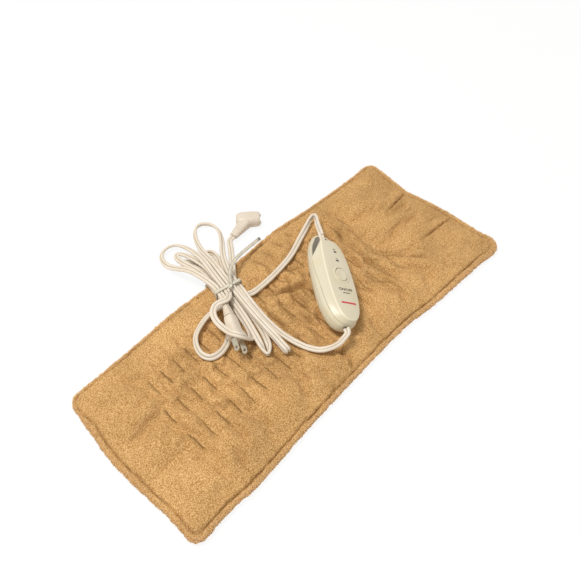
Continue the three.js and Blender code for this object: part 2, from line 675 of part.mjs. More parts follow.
function makeUpperShell() {
  const outer = loft(upperOuter.map(([inset, w, share]) => upperRing(inset, w, share)));
  const inner = loft([
    upperRing(0.3 + CASE_WALL, UPPER_FOOT - 1, 0), upperRing(2 + CASE_WALL, UPPER_FOOT + 2.6, 0.19),
    upperRing(4.6 + CASE_WALL, UPPER_FOOT + 5.3, 0.56), upperRing(RIDGE_INSET + CASE_WALL, ceiling, 1),
  ]);
  const hollow = cut(outer, chamferBlock(0), cut(inner, chamferBlock(CASE_WALL)));
  const bezelInner = buttonHole / 2;
  const bezel = onPanel(turned([
    [bezelInner, ceiling + 0.4], [bezelInner + BEZEL_WIDTH, ceiling + 0.4],
    [bezelInner + BEZEL_WIDTH, plateauHeight], [bezelInner + BEZEL_WIDTH / 2, plateauHeight + BUTTON_RISE],
    [bezelInner, plateauHeight], [bezelInner, ceiling + 0.4],
  ], 0, 0));
  const bossFoot = PARTING_HEIGHT + BOSS_RISE + SEAT_GAP;
  const bosses = SCREW_PLACES.map((u) => rod(BOSS_DIAMETER - 2, ceiling + 0.6 - bossFoot, u, 0, bossFoot));
  const joined = join(hollow, ...bosses);
  const hole = onPanel(rod(buttonHole, CASE_HEIGHT, 0, 0, ceiling - 2, 28));
  const bores = SCREW_PLACES.map((u) => rod(screwBore, ceiling - 0.8, u, 0, 0, 14));
  const windows = LIGHT_PLACES.map((u) => (
    box(LIGHT_WIDTH + 2 * SEAT_GAP, LIGHT_LENGTH + 2 * SEAT_GAP, CASE_HEIGHT, u, PANEL_SHIFT, ceiling - 2)
  ));
  const opened = cut(joined, hole, ...bores, ...windows, ...GLANDS.map(glandCut));
  addPiece(controller, 'controller_shell_upper', join(opened, bezel), 'ivory', 0.42);
}

function makeButton() {
  const radius = BUTTON_DIAMETER / 2;
  const flangeTop = ceiling - SEAT_GAP;
  const flangeFoot = flangeTop - 1;
  const top = plateauHeight + BUTTON_RISE;
  const button = onPanel(turned([
    [0, stemFoot], [2, stemFoot], [2, flangeFoot], [radius + BUTTON_FLANGE, flangeFoot],
    [radius + BUTTON_FLANGE, flangeTop], [radius, flangeTop], [radius, top - 0.8], [radius - 0.8, top],
    [radius - 2.4, top], [0, top - 0.7],
  ], 0, 0));
  addPiece(controller, 'controller_button', button, 'ivory', 0.38);
}

const SWITCH_SIZE = 6.2;
const SWITCH_HEIGHT = 3.4;
const PLUNGER_DIAMETER = 3.4;
const switchTop = partFloor + SWITCH_HEIGHT;
const plungerTop = switchTop + BUTTON_TRAVEL + 2 * SEAT_GAP;
const stemFoot = plungerTop + SEAT_GAP;

function makeSwitch() {
  const [u, v] = [BUTTON_PLACE, PANEL_SHIFT];
  const body = box(SWITCH_SIZE, SWITCH_SIZE, SWITCH_HEIGHT, u, v, partFloor);
  const well = rod(PLUNGER_DIAMETER + 2 * SLIDE_GAP, SWITCH_HEIGHT, u, v, partFloor + SEAT_GAP, 16);
  addPiece(controller, 'controller_switch', cut(body, well), 'black', 0.5);
  const plungerFoot = partFloor + 2 * SEAT_GAP + BUTTON_TRAVEL;
  const plunger = rod(PLUNGER_DIAMETER, plungerTop - plungerFoot, u, v, plungerFoot, 16);
  addPiece(controller, 'controller_switch_plunger', plunger, 'black', 0.5);
}

const PIPE_HEIGHT = 8;
const PIPE_FLANGE = 1;
const LED_DIAMETER = 3;

function makeLights() {
  const top = plateauHeight - SEAT_GAP;
  const flange = ceiling - SEAT_GAP - PIPE_FLANGE;
  LIGHT_PLACES.forEach((u, i) => {
    const stem = box(LIGHT_WIDTH, LIGHT_LENGTH, PIPE_HEIGHT, u, PANEL_SHIFT, top - PIPE_HEIGHT);
    const rim = box(LIGHT_WIDTH + 3, LIGHT_LENGTH + 3, PIPE_FLANGE, u, PANEL_SHIFT, flange);
    addPiece(controller, `controller_window_${i + 1}`, join(stem, rim), 'smoke', 0.2);
    const tip = top - PIPE_HEIGHT - SEAT_GAP;
    const radius = LED_DIAMETER / 2;
    const led = turned([
      [0, partFloor], [radius + 0.4, partFloor], [radius + 0.4, partFloor + 1], [radius, partFloor + 1],
      [radius, tip - radius], [radius * 0.7, tip - radius * 0.3], [0, tip],
    ], u, PANEL_SHIFT, 12);
    addPiece(controller, `controller_led_${i + 1}`, led, 'lamp', 0.25);
  });
}

function makeBoard() {
  const board = box(BOARD_LENGTH, BOARD_WIDTH, BOARD_THICK, BOARD_PLACE, 0, BOARD_HEIGHT);
  addPiece(controller, 'controller_board', board, 'board', 0.5);
  const relay = box(RELAY.length, RELAY.width, RELAY.height, RELAY.u, RELAY.v, partFloor);
  addPiece(controller, 'controller_relay', relay, 'black', 0.45);
  const capacitor = rod(CAPACITOR.diameter, CAPACITOR.height, CAPACITOR.u, CAPACITOR.v, partFloor);
  addPiece(controller, 'controller_capacitor', capacitor, 'smoke', 0.35);
  const fuse = rod(FUSE.diameter, FUSE.length, 0, 0, -FUSE.length / 2, 12).rotateY(Math.PI / 2);
  fuse.translate(FUSE.u, FUSE.v, partFloor + FUSE.diameter / 2);
  addPiece(controller, 'controller_fuse', fuse, 'steel', 0.3);
}

function makeScrews() {
  const headTop = SINK_DEPTH - SEAT_GAP;
  SCREW_PLACES.forEach((u, i) => {
    const shank = rod(SCREW_SHANK_DIAMETER, ceiling - 2.5 - headTop, u, 0, headTop - 0.1, 14);
    const head = turned([
      [0, 2.4], [SCREW_HEAD_DIAMETER / 2 - 0.6, 2.4], [SCREW_HEAD_DIAMETER / 2, 3.2],
      [SCREW_HEAD_DIAMETER / 2, headTop], [0, headTop],
    ], u, 0, 18);
    addPiece(controller, `controller_screw_${i + 1}`, join(shank, head), 'steel', 0.35, 1);
  });
}

// The case leans on its lower right edge, so it is lifted until that edge meets the pad
function placeController() {
  controller.rotation.set(CASE_ROLL, 0, CASE_HEADING, 'ZYX');
  const lowest = lowerOuter.flatMap(([inset, w]) => caseRing(inset, w))
    .reduce((low, p) => Math.min(low, p.clone().applyEuler(controller.rotation).z), 0);
  controller.position.set(CASE_PLACE.x, CASE_PLACE.y, PAD_CREST + SEAT_GAP - lowest);
  controller.updateMatrixWorld(true);
  root.add(controller);
}

// Cords

const half = CORD_WIDTH / 2;
const lobe = CORD_WIDTH / 4;
const CORD_SECTION = [
  [half, 0], [lobe, CORD_THICK / 2], [0, CORD_GROOVE], [-lobe, CORD_THICK / 2],
  [-half, 0], [-lobe, -CORD_THICK / 2], [0, -CORD_GROOVE], [lobe, -CORD_THICK / 2],
];
const UP = new THREE.Vector3(0, 0, 1);
const ALONG = new THREE.Vector3(Math.cos(WAIST_HEADING), Math.sin(WAIST_HEADING), 0);
const ACROSS = new THREE.Vector3(Math.sin(WAIST_HEADING), -Math.cos(WAIST_HEADING), 0);
const WAIST = new THREE.Vector3(WAIST_PLACE.x, WAIST_PLACE.y, 0);
const layerBase = PAD_CREST + SEAT_GAP + TIE_THICK + SEAT_GAP + CORD_THICK / 2 + 0.3;
const bedHeight = PAD_CREST + SEAT_GAP + CORD_THICK / 2;

// A strand's slot in the waist: column a to d from the left, layer 0 to 2 from below
function slot(key) {
  const column = 'abcd'.indexOf(key[0]) - 1.5;
  return { across: column * COLUMN_PITCH, z: layerBase + Number(key[1]) * LAYER_PITCH };
}

function waistPoint(key, along) {
  const { across, z } = slot(key);
  return WAIST.clone().addScaledVector(ALONG, along).addScaledVector(ACROSS, across).setZ(z);
}

// The middle line of a lobe: it leaves the waist square and turns by bend over turnLength
function lobeAxis(way, middle, bend, turnLength) {
  return (distance) => {
    const point = WAIST.clone().addScaledVector(ALONG, way * WAIST_HALF).addScaledVector(ACROSS, middle);
    const steps = 24;
    const aim = new THREE.Vector3();
    for (let i = 0; i < steps; i += 1) {
      const turn = bend * smooth(((i + 0.5) / steps) * (distance / turnLength));
      aim.copy(ALONG).multiplyScalar(way * Math.cos(turn)).addScaledVector(ACROSS, Math.sin(turn));
      point.addScaledVector(aim, distance / steps);
    }
    const turn = bend * smooth(distance / turnLength);
    const right = ACROSS.clone().multiplyScalar(Math.cos(turn)).addScaledVector(ALONG, -way * Math.sin(turn));
    return { point, right };
  };
}

// A loop that leaves one slot, swings round a teardrop and comes back to another
function loopSamples({ way, from, to, reach, out, back, early = [1, 1], bend, low, fall, roll, rollSpan }) {
  const [start, end] = [slot(from), slot(to)];
  const axis = lobeAxis(way, (start.across + end.across) / 2, bend, reach);
  const side = start.across < end.across || (start.across === end.across && start.z > end.z) ? -1 : 1;
  return Array.from({ length: LOBE_STEPS + 1 }, (_, i) => {
    const t = i / LOBE_STEPS;
    const distance = reach * Math.sin(Math.PI * t);
    const { point, right } = axis(distance);
    const [wide, power] = t < 0.5 ? [out, early[0]] : [back, early[1]];
    const swing = (1 + 0.3 * power) * Math.sin(2 * Math.PI * t) * Math.sin(Math.PI * t) ** power * wide;
    const apart = ((start.across - end.across) / 2) * Math.cos(Math.PI * t);
    point.addScaledVector(right, apart + side * swing);
    const level = THREE.MathUtils.lerp(start.z, end.z, smooth((t - 0.35) / 0.3));
    point.z = THREE.MathUtils.lerp(level, low, smooth((distance - fall[0]) / (fall[1] - fall[0])));
    return { point, roll: roll * Math.exp(-(((t - 0.5) / rollSpan) ** 4)) };
  });
}

// A fold that goes out on top and comes back underneath
function foldSamples({ way, from, to, reach, bend, fall, lowTop, lowUnder }) {
  const [start, end] = [slot(from), slot(to)];
  const axis = lobeAxis(way, start.across, bend, reach);
  const radius = (lowTop - lowUnder) / 2;
  const straight = 9;
  const round = 6;
  const run = Array.from({ length: straight }, (_, i) => ((reach - radius) * i) / straight);
  const fallen = (distance) => smooth((distance - fall[0]) / (fall[1] - fall[0]));
  const level = (distance, z, low) => THREE.MathUtils.lerp(z, low, fallen(distance));
  const lying = (d, z, low) => ({ point: axis(d).point.setZ(level(d, z, low)), roll: 0 });
  const outward = run.map((d) => lying(d, start.z, lowTop));
  const tip = Array.from({ length: round + 1 }, (_, i) => {
    const angle = Math.PI / 2 - (i / round) * Math.PI;
    const point = axis(reach - radius + radius * Math.cos(angle)).point;
    return { point: point.setZ((lowTop + lowUnder) / 2 + radius * Math.sin(angle)), roll: 0, carried: true };
  });
  const inward = run.reverse().map((d) => lying(d, end.z, lowUnder));
  return [...outward, ...tip, ...inward];
}

// A free stretch through points chosen by hand: [x, y, z, roll in degrees]
function freeSamples(list, steps) {
  const places = list.map(([x, y, z]) => new THREE.Vector3(x, y, z));
  const curve = new THREE.CatmullRomCurve3(places, false, 'centripetal');
  return Array.from({ length: steps + 1 }, (_, i) => {
    const t = (i / steps) * (list.length - 1);
    const k = Math.min(Math.floor(t), list.length - 2);
    const roll = THREE.MathUtils.lerp(list[k][3], list[k + 1][3], t - k);
    return { point: curve.getPoint(i / steps), roll: THREE.MathUtils.degToRad(roll) };
  });
}

// Gives each sample the direction of the cord's width, kept from flipping over
function withSides(samples) {
  let last = null;
  return samples.map(({ point, roll, carried }, i) => {
    const before = samples[Math.max(0, i - 1)].point;
    const after = samples[Math.min(samples.length - 1, i + 1)].point;
    const ahead = after.clone().sub(before).normalize();
    const level = new THREE.Vector3().crossVectors(UP, ahead).normalize();
    const turned = level.multiplyScalar(Math.cos(roll)).addScaledVector(UP, Math.sin(roll));
    const side = carried ? last.clone() : turned;
    side.addScaledVector(ahead, -side.dot(ahead)).normalize();
    if (last && side.dot(last) < 0) side.negate();
    last = side;
    return { point, side };
  });
}

// The least gap between far-apart stretches of one cord, or between two cords, on surface points
function surfacePoints(samples) {
  const dense = [];
  let travelled = 0;
  for (let i = 0; i + 1 < samples.length; i += 1) {
    const [a, b] = [samples[i], samples[i + 1]];
    const length = a.point.distanceTo(b.point);
    const steps = Math.max(1, Math.round(length / 1.2));
    for (let k = 0; k < steps; k += 1) {
      const point = a.point.clone().lerp(b.point, k / steps);
      const wide = a.side.clone().lerp(b.side, k / steps).normalize();
      const thick = b.point.clone().sub(a.point).normalize().cross(wide);
      CORD_SECTION.forEach(([x, y], n) => {
        const [nextX, nextY] = CORD_SECTION[(n + 1) % CORD_SECTION.length];
        for (const share of [0, 0.5]) {
          const across = THREE.MathUtils.lerp(x, nextX, share);
          const up = THREE.MathUtils.lerp(y, nextY, share);
          const spot = point.clone().addScaledVector(wide, across).addScaledVector(thick, up);
          dense.push({ spot, at: travelled + (length * k) / steps });
        }
      });
    }
    travelled += length;
  }
  return { dense, length: travelled };
}

function leastGap(one, two, skip) {
  const cell = 6;
  const key = (p) => `${Math.floor(p.x / cell)},${Math.floor(p.y / cell)},${Math.floor(p.z / cell)}`;
  const grid = new Map();
  for (const item of two) {
    const k = key(item.spot);
    if (!grid.has(k)) grid.set(k, []);
    grid.get(k).push(item);
  }
  let least = { gap: Infinity };
  for (const item of one) {
    for (let n = 0; n < 27; n += 1) {
      const shift = new THREE.Vector3((n % 3) - 1, (Math.floor(n / 3) % 3) - 1, Math.floor(n / 9) - 1);
      for (const other of grid.get(key(item.spot.clone().addScaledVector(shift, cell))) ?? []) {
        if (Math.abs(item.at - other.at) < skip) continue;
        const gap = item.spot.distanceTo(other.spot);
        if (gap < least.gap) least = { gap, spot: item.spot, at: item.at, other: other.at };
      }
    }
  }
  return least;
}

// The mains lead: from the controller through every loop of the bundle to the plug

const glandFace = (gland) => {
  const local = new THREE.Vector3(gland.way * (gland.end + GLAND_PROUD + SEAT_GAP), 0, glandHeight);
  return local.applyMatrix4(controller.matrixWorld);
};
const glandAim = (gland) => new THREE.Vector3(gland.way, 0, 0).transformDirection(controller.matrixWorld);
const listed = (point, roll) => [point.x, point.y, point.z, roll];
const caseRollDegrees = THREE.MathUtils.radToDeg(CASE_ROLL);

const UPPER = 1;
const LOWER = -1;
const edgeFall = [24, 84];

const LOOP_RIGHT = {
  way: UPPER, from: 'd1', to: 'c2', reach: 110, out: 17, back: 9, early: [0.6, 2], bend: 0.42, low: 5,
  fall: edgeFall, roll: 1.2, rollSpan: 0.3,
};
const FOLD_LONG = {
  way: LOWER, from: 'c2', to: 'c1', reach: 95, bend: 0.12, fall: [70, 95], lowTop: 19.6, lowUnder: 13.6,
};
const LOOP_SHORT = {
  way: UPPER, from: 'c1', to: 'c0', reach: 61, out: 1, back: 8, early: [2, 0.4], bend: 0.24, low: 8,
  fall: [24, 60], roll: 1.1, rollSpan: 0.22,
};
const LOOP_LEFT_FOLD = {
  way: LOWER, from: 'c0', to: 'b1', reach: 86, out: 3.4, back: 1, bend: -0.222, low: 15.2, fall: [70, 86],
  roll: 1.4, rollSpan: 0.16,
};
const LOOP_INNER = {
  way: UPPER, from: 'b1', to: 'a1', reach: 80, out: 2.5, back: 4, bend: -0.3, low: 8, fall: edgeFall,
  roll: 0.5, rollSpan: 0.2,
};
const LOOP_LOWEST = {
  way: UPPER, from: 'a0', to: 'b0', reach: 68, out: 2, back: 2, bend: -0.3, low: 3, fall: [22, 66],
  roll: 0.4, rollSpan: 0.2,
};
const LOOP_LEFT = {
  way: UPPER, from: 'b2', to: 'a2', reach: 98, out: 14, back: 15, early: [1.6, 0.2], bend: -0.46, low: 6,
  fall: [30, 90], roll: 0.9, rollSpan: 0.26,
};

// The open loop beside the plug, then the loop that crosses over the plug's neck and body
const FAR_LEFT_POINTS = [
  [-50.6, 66.2, 18.2, 0], [-56.5, 65.4, 17.2, 20], [-64, 67.4, 16.4, 30], [-74, 67.6, 15.6, 30],
  [-86, 65, 15, 30], [-98, 59.5, 15, 40], [-104.5, 53.3, 15, 45], [-109.2, 44.4, 15, 45],
  [-110.3, 34.2, 15, 45], [-106.5, 27, 15, 40], [-98, 24.6, 14.4, 25], [-89.2, 25.8, 13.7, 10],
  [-81.5, 29, bedHeight + 0.2, 0], [-70, 38, bedHeight + 0.2, 0], [-58, 52, bedHeight + 0.2, 0],
];
const OVER_PLUG_POINTS = [
  [-49, 42, bedHeight + 0.3, 0], [-54.4, 24, 13.4, 0], [-60.2, 14.4, 13.3, 0], [-68, 9.6, 26.2, 0],
  [-75.5, 12.5, 37.4, 0], [-80.5, 22, 38.4, 0], [-81, 33, 36.4, 0], [-78.8, 46.5, 33.5, 0],
  [-74.5, 56, 31.5, 0], [-69, 61.5, 30.5, 0], [-63, 63.6, 30.5, 0], [-57, 61.8, 31, 0],
  [-51, 60.4, 30, 0], [-45.5, 63.5, 26.6, 0],
];

function throughSlots(from, list, to, steps) {
  const ends = [listed(waistPoint(from, -WAIST_HALF), 0), listed(waistPoint(to, -WAIST_HALF), 0)];
  return freeSamples([ends[0], ...list, ends[1]], steps);
}

const PLUG_AIM = new THREE.Vector3(Math.cos(PLUG_HEADING), Math.sin(PLUG_HEADING), 0);
const plugDepth = PLUG_LENGTH + PLUG_RELIEF_LENGTH + 2 * SEAT_GAP;
const plugEntry = PLUG_FACE.clone().addScaledVector(PLUG_AIM, -plugDepth);

const bundleEnd = waistPoint('d1', -WAIST_HALF);

// A hand-chosen point, told from where the cord leaves the case
function stepFrom(point, [x, y, z, roll]) {
  return [point.x + x, point.y + y, point.z + z, roll];
}

function mainsRunSamples() {
  const gland = GLANDS[1];
  const exit = glandFace(gland);
  const straight = exit.clone().addScaledVector(glandAim(gland), CORD_WIDTH * 0.75);
  const meeting = bundleEnd.clone().addScaledVector(ALONG, -SEAT_GAP);
  return withSides(freeSamples([
    ...[exit, exit.clone().lerp(straight, 0.4), straight].map((point) => listed(point, caseRollDegrees)),
    ...[[-6.9, -0.2, -3.3, 22], [-13.3, 1, -7.3, 18]].map((step) => stepFrom(straight, step)),
    [-15.1, -57.4, 19.5, 12], [-22.5, -50, 16, 6], [-27.3, -40.5, 14.2, 2],
    [-30.6, -30, bedHeight + 0.4, 0], [-34, -10, bedHeight + 0.2, 0],
    [-33.8, 12, bedHeight + 0.4, 0], [-31.2, 34, 15, 0], [-28.2, 51, 17, 0],
    listed(meeting.clone().addScaledVector(ALONG, -CORD_WIDTH / 2), 0), listed(meeting, 0),
  ], 32));
}

function hankSamples() {
  const home = freeSamples([
    listed(waistPoint('a2', -WAIST_HALF), 0),
    listed(plugEntry.clone().addScaledVector(PLUG_AIM, -CORD_WIDTH * 0.6), 0), listed(plugEntry, 0),
  ], 5);
  return withSides([
    { point: bundleEnd, roll: 0 },
    ...loopSamples(LOOP_RIGHT), ...foldSamples(FOLD_LONG), ...loopSamples(LOOP_SHORT),
    ...loopSamples(LOOP_LEFT_FOLD), ...loopSamples(LOOP_INNER),
    ...throughSlots('a1', FAR_LEFT_POINTS, 'a0', 32), ...loopSamples(LOOP_LOWEST),
    ...throughSlots('b0', OVER_PLUG_POINTS, 'b2', 45), ...loopSamples(LOOP_LEFT), ...home,
  ]);
}

// The pad lead: from the angled connector through the waist to the controller
function padLeadSamples() {
  const gland = GLANDS[0];
  const exit = glandFace(gland);
  const straight = exit.clone().addScaledVector(glandAim(gland), CORD_WIDTH / 2);
  const reliefAim = reliefDirection();
  const entry = RELIEF_END.clone().addScaledVector(reliefAim, -SEAT_GAP);
  const before = entry.clone().addScaledVector(reliefAim, -CORD_WIDTH);
  return withSides(freeSamples([
    listed(entry, 0), listed(before, 0),
    ...[[0.21, 9.4], [0.43, 11.6], [0.74, 13.6]].map(([share, z]) => (
      listed(before.clone().lerp(waistPoint('d0', WAIST_HALF), share).setZ(z), 0)
    )),
    ...[WAIST_HALF, 0, -WAIST_HALF].map((along) => listed(waistPoint('d0', along), 0)),
    [-24, 59.5, 13.9, 20], [-18.5, 56.2, 13.6, 20], [-7, 55.5, bedHeight + 0.1, 0],
    [16, 56.5, bedHeight + 0.1, 0], [50.2, 61.8, bedHeight + 0.2, 0], [77.3, 71.3, 14.4, 15],
    ...[
      [8.4, 28.2, -14.3, 50], [17.4, 31.2, -12.3, 75], [21.7, 30.1, -9.8, 85], [20, 24.7, -7.3, 80],
      [13.3, 17.5, -4.8, 55],
    ].map((step) => stepFrom(straight, step)),
    listed(straight, 38),
    listed(exit, caseRollDegrees),
  ], 44));
}

function makeCords() {
  const strands = {
    cord_mains_run: mainsRunSamples(), cord_mains_hank: hankSamples(), cord_pad_lead: padLeadSamples(),
  };
  const surfaces = Object.entries(strands).map(([name, samples]) => {
    addPiece(root, name, sweep(CORD_SECTION, samples), 'cord', 0.5);
    return { name, ...surfacePoints(samples) };
  });
  surfaces.forEach((one, i) => {
    console.log(`${one.name}: ${one.length.toFixed(0)} mm long`);
    surfaces.slice(i).forEach((two) => {
      const least = leastGap(one.dense, two.dense, one === two ? 3 * CORD_WIDTH : -1);
      const spot = least.spot ? least.spot.toArray().map((n) => n.toFixed(0)).join(' ') : 'nowhere';
      console.log(`  least gap to ${two.name}: ${least.gap.toFixed(2)} mm near ${spot}`);
    });
  });
}

// Twist tie: a flat band round the waist, with one long and one short tail

const TIE_TAIL = [
  [-31, 75, 26.6], [-24, 85, 28.6], [-12, 93.5, 27], [2, 99, 24], [21, 102.5, 20.5], [43, 104.5, 18],
];
const TIE_ROLL = 0.5;
const TIE_STUB = [[-31.5, 74.5, 26.5], [-35, 71, 28.5], [-40, 69, 31.5]];

function tieTail(list, steps) {
  const [w, h] = [TIE_WIDTH / 2, TIE_THICK / 2];
  const curve = new THREE.CatmullRomCurve3(list.map((p) => new THREE.Vector3(...p)));
  const samples = curve.getPoints(steps).map((point) => ({ point, roll: TIE_ROLL }));
  return sweep([[w, h], [-w, h], [-w, -h], [w, -h]], withSides(samples));
}

function bandPath(path, halfWide, low, high, corner) {
  path.moveTo(-halfWide + corner, low);
  path.lineTo(halfWide - corner, low);
  path.absarc(halfWide - corner, low + corner, corner, -Math.PI / 2, 0, false);
  path.absarc(halfWide - corner, high - corner, corner, 0, Math.PI / 2, false);
  path.absarc(corner - halfWide, high - corner, corner, Math.PI / 2, Math.PI, false);
  path.absarc(corner - halfWide, low + corner, corner, Math.PI, 1.5 * Math.PI, false);
  return path;
}

function makeTie() {
  const halfWide = 1.5 * COLUMN_PITCH + CORD_WIDTH / 2 + SLIDE_GAP;
  const low = layerBase - CORD_THICK / 2 - SEAT_GAP;
  const high = layerBase + 2 * LAYER_PITCH + CORD_THICK / 2 + SLIDE_GAP;
  const corner = 1.6;
  const band = bandPath(new THREE.Shape(), halfWide + TIE_THICK, low - TIE_THICK, high + TIE_THICK, corner);
  band.holes.push(bandPath(new THREE.Path(), halfWide, low, high, corner - TIE_THICK));
  const ring = new THREE.ExtrudeGeometry(band, { depth: TIE_WIDTH, bevelEnabled: false, curveSegments: 3 });
  const place = new THREE.Matrix4().makeBasis(ACROSS, UP, ALONG.clone().negate());
  place.setPosition(WAIST.clone().addScaledVector(ALONG, TIE_WIDTH / 2));
  ring.applyMatrix4(place);
  addPiece(root, 'twist_tie', join(ring, tieTail(TIE_TAIL, 14), tieTail(TIE_STUB, 5)), 'paper', 0.7);
}

// Wall plug: a moulded two-blade body with a ribbed neck

function ribbedNeck(length, wide, slim, ribs, count = 16) {
  const rings = [];
  for (let i = 0; i < ribs; i += 1) {
    const share = i / ribs;
    const width = THREE.MathUtils.lerp(wide[0], slim[0], share);
    const thick = THREE.MathUtils.lerp(wide[1], slim[1], share);
    const rib = length / ribs;
    for (const [place, trim] of [[0, 0], [0.55, 0], [0.65, 1.2], [0.98, 1.2]]) {
      rings.push(crossRing(-(i + place) * rib, width - trim, thick - trim, count, 3));
    }
  }
  rings.push(crossRing(-length, slim[0], slim[1], count, 3));
  return loft(rings);
}

const plug = new THREE.Group();
const NECK_WIDE = [13, 10.4];
const NECK_SLIM = [9.4, 6];

function makePlug() {
  plug.position.copy(PLUG_FACE);
  plug.rotation.set(PLUG_ROLL, 0, PLUG_HEADING, 'ZYX');
  root.add(plug);
  const stations = [
    [0, 0.93, 0.92], [0.04, 1, 1], [0.17, 1, 1], [0.29, 0.76, 0.8], [0.6, 0.68, 0.76], [0.85, 0.64, 0.74],
    [1, 0.56, 0.66],
  ];
  const body = loft(stations.map(([share, wide, thick]) => (
    crossRing(-share * PLUG_LENGTH, PLUG_WIDTH * wide, PLUG_THICK * thick, 28, 3.4)
  )));
  const [slotThick, slotWide] = [BLADE_THICK + 2 * SEAT_GAP, BLADE_WIDTH + 2 * SEAT_GAP];
  const slots = [-1, 1].map((side) => (
    box(2 * BLADE_ROOT, slotThick, slotWide, 0, (side * BLADE_SPACING) / 2, -slotWide / 2)
  ));
  addPiece(plug, 'plug_body', cut(body, ...slots), 'cord', 0.5);
  const neck = ribbedNeck(PLUG_RELIEF_LENGTH, NECK_WIDE, NECK_SLIM, 4);
  neck.translate(-PLUG_LENGTH - SEAT_GAP, 0, 0);
  addPiece(plug, 'plug_strain_relief', neck, 'cord', 0.5);
  [-1, 1].forEach((side, i) => {
    const seated = BLADE_ROOT - SEAT_GAP;
    const tip = 2.2;
    const outline = new THREE.Shape();
    outline.moveTo(-seated, -BLADE_WIDTH / 2);
    outline.lineTo(BLADE_LENGTH - tip, -BLADE_WIDTH / 2);
    outline.lineTo(BLADE_LENGTH, tip - BLADE_WIDTH / 2);
    outline.lineTo(BLADE_LENGTH, BLADE_WIDTH / 2 - tip);
    outline.lineTo(BLADE_LENGTH - tip, BLADE_WIDTH / 2);
    outline.lineTo(-seated, BLADE_WIDTH / 2);
    const eyePlace = BLADE_LENGTH - BLADE_EYE_INSET;
    outline.holes.push(new THREE.Path().absarc(eyePlace, 0, BLADE_EYE / 2, 0, 2 * Math.PI, true));
    const flat = { depth: BLADE_THICK, bevelEnabled: false, curveSegments: 5 };
    const blade = new THREE.ExtrudeGeometry(outline, flat);
    blade.translate(0, 0, -BLADE_THICK / 2).rotateX(Math.PI / 2).translate(0, (side * BLADE_SPACING) / 2, 0);
    addPiece(plug, `plug_blade_${i + 1}`, blade, 'steel', 0.25, 1);
  });
}

// Angled connector: a block with two round noses, and a ribbed neck that meets its side

const connector = new THREE.Group();
const NECK_ROOT = [16, 13];
const HEAD_POWER = 2.8;
const HEAD_ENDS = [[0, 0.64], [1.2, 0.85], [4, 0.97], [9, 1]];
const HEAD_FACE = [[5, 1], [1.5, 0.95], [0, 0.84]];

function headPoint(p, q) {
  const [c, s] = [Math.cos(CONNECTOR_HEADING), Math.sin(CONNECTOR_HEADING)];
  return new THREE.Vector3(p * c - q * s, p * s + q * c, 0).add(CONNECTOR_PLACE);
}

function reliefDirection() {
  return headPoint(CONNECTOR_ENTRY, -CONNECTOR_WIDTH / 2).sub(RELIEF_END).setZ(0).normalize();
}

function makeConnector() {
  connector.position.copy(CONNECTOR_PLACE);
  connector.rotation.z = CONNECTOR_HEADING;
  root.add(connector);
  const [length, width, thick] = [CONNECTOR_LENGTH, CONNECTOR_WIDTH, CONNECTOR_THICK];
  const stations = [
    ...HEAD_ENDS.map(([x, share]) => [x - length / 2, share]),
    ...HEAD_FACE.map(([x, share]) => [length / 2 - x, share]),
  ];
  const head = loft(stations.map(([x, share]) => crossRing(x, width * share, thick * share, 28, HEAD_POWER)));
  const places = [-PIN_SPACING / 2, PIN_SPACING / 2];
  const along = (shape, y) => shape.rotateY(Math.PI / 2).translate(length / 2, y, 0);
  const nose = PIN_SOCKET_DIAMETER - SLIDE_GAP;
  const noses = places.map((y) => along(rod(nose, CONNECTOR_NOSE + 1, 0, 0, -1, 16), y));
  const bore = nose - 0.8;
  const bores = places.map((y) => along(rod(bore, 2 * CONTACT_DEPTH, 0, 0, -CONTACT_DEPTH, 14), y));
  addPiece(connector, 'connector_head', cut(join(head, ...noses), ...bores), 'ivory', 0.5);
  places.forEach((y, i) => {
    const [outside, inside] = [bore / 2 - SEAT_GAP, bore / 2 - SEAT_GAP - 0.4];
    const [foot, lip] = [0.6 - CONTACT_DEPTH, CONNECTOR_NOSE - 0.4];
    const wall = [[inside, foot], [outside, foot], [outside, lip], [inside, lip], [inside, foot]];
    const tube = turned(wall, 0, 0, 12);
    addPiece(connector, `connector_contact_${i + 1}`, along(tube, y), 'brass', 0.3, 1);
  });

  const joint = headPoint(CONNECTOR_ENTRY, -CONNECTOR_WIDTH / 2);
  const span = joint.distanceTo(RELIEF_END);
  const deep = 5;
  const aim = reliefDirection();
  const neck = ribbedNeck(span + deep, NECK_ROOT, NECK_SLIM, 7);
  neck.rotateZ(Math.atan2(aim.y, aim.x)).translate(...joint.clone().addScaledVector(aim, deep).toArray());
  const clear = loft(stations.map(([x, share]) => (
    crossRing(x * 1.03, width * share + 2 * SEAT_GAP, thick * share + 2 * SEAT_GAP, 28, HEAD_POWER)
  ))).rotateZ(CONNECTOR_HEADING).translate(...CONNECTOR_PLACE.toArray());
  addPiece(root, 'connector_strain_relief', cut(neck, clear), 'ivory', 0.55);
}

makePad();
makeInlet();
placeController();
makeLowerShell();
makeUpperShell();
makeButton();
makeSwitch();
makeLights();
makeBoard();
makeScrews();
GLANDS.forEach(makeGland);
makeCords();
makeTie();
makePlug();
makeConnector();

export default root;
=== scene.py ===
"""Heating pad with a hand controller and a bundled cord set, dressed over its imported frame."""

import functools
import json
import math

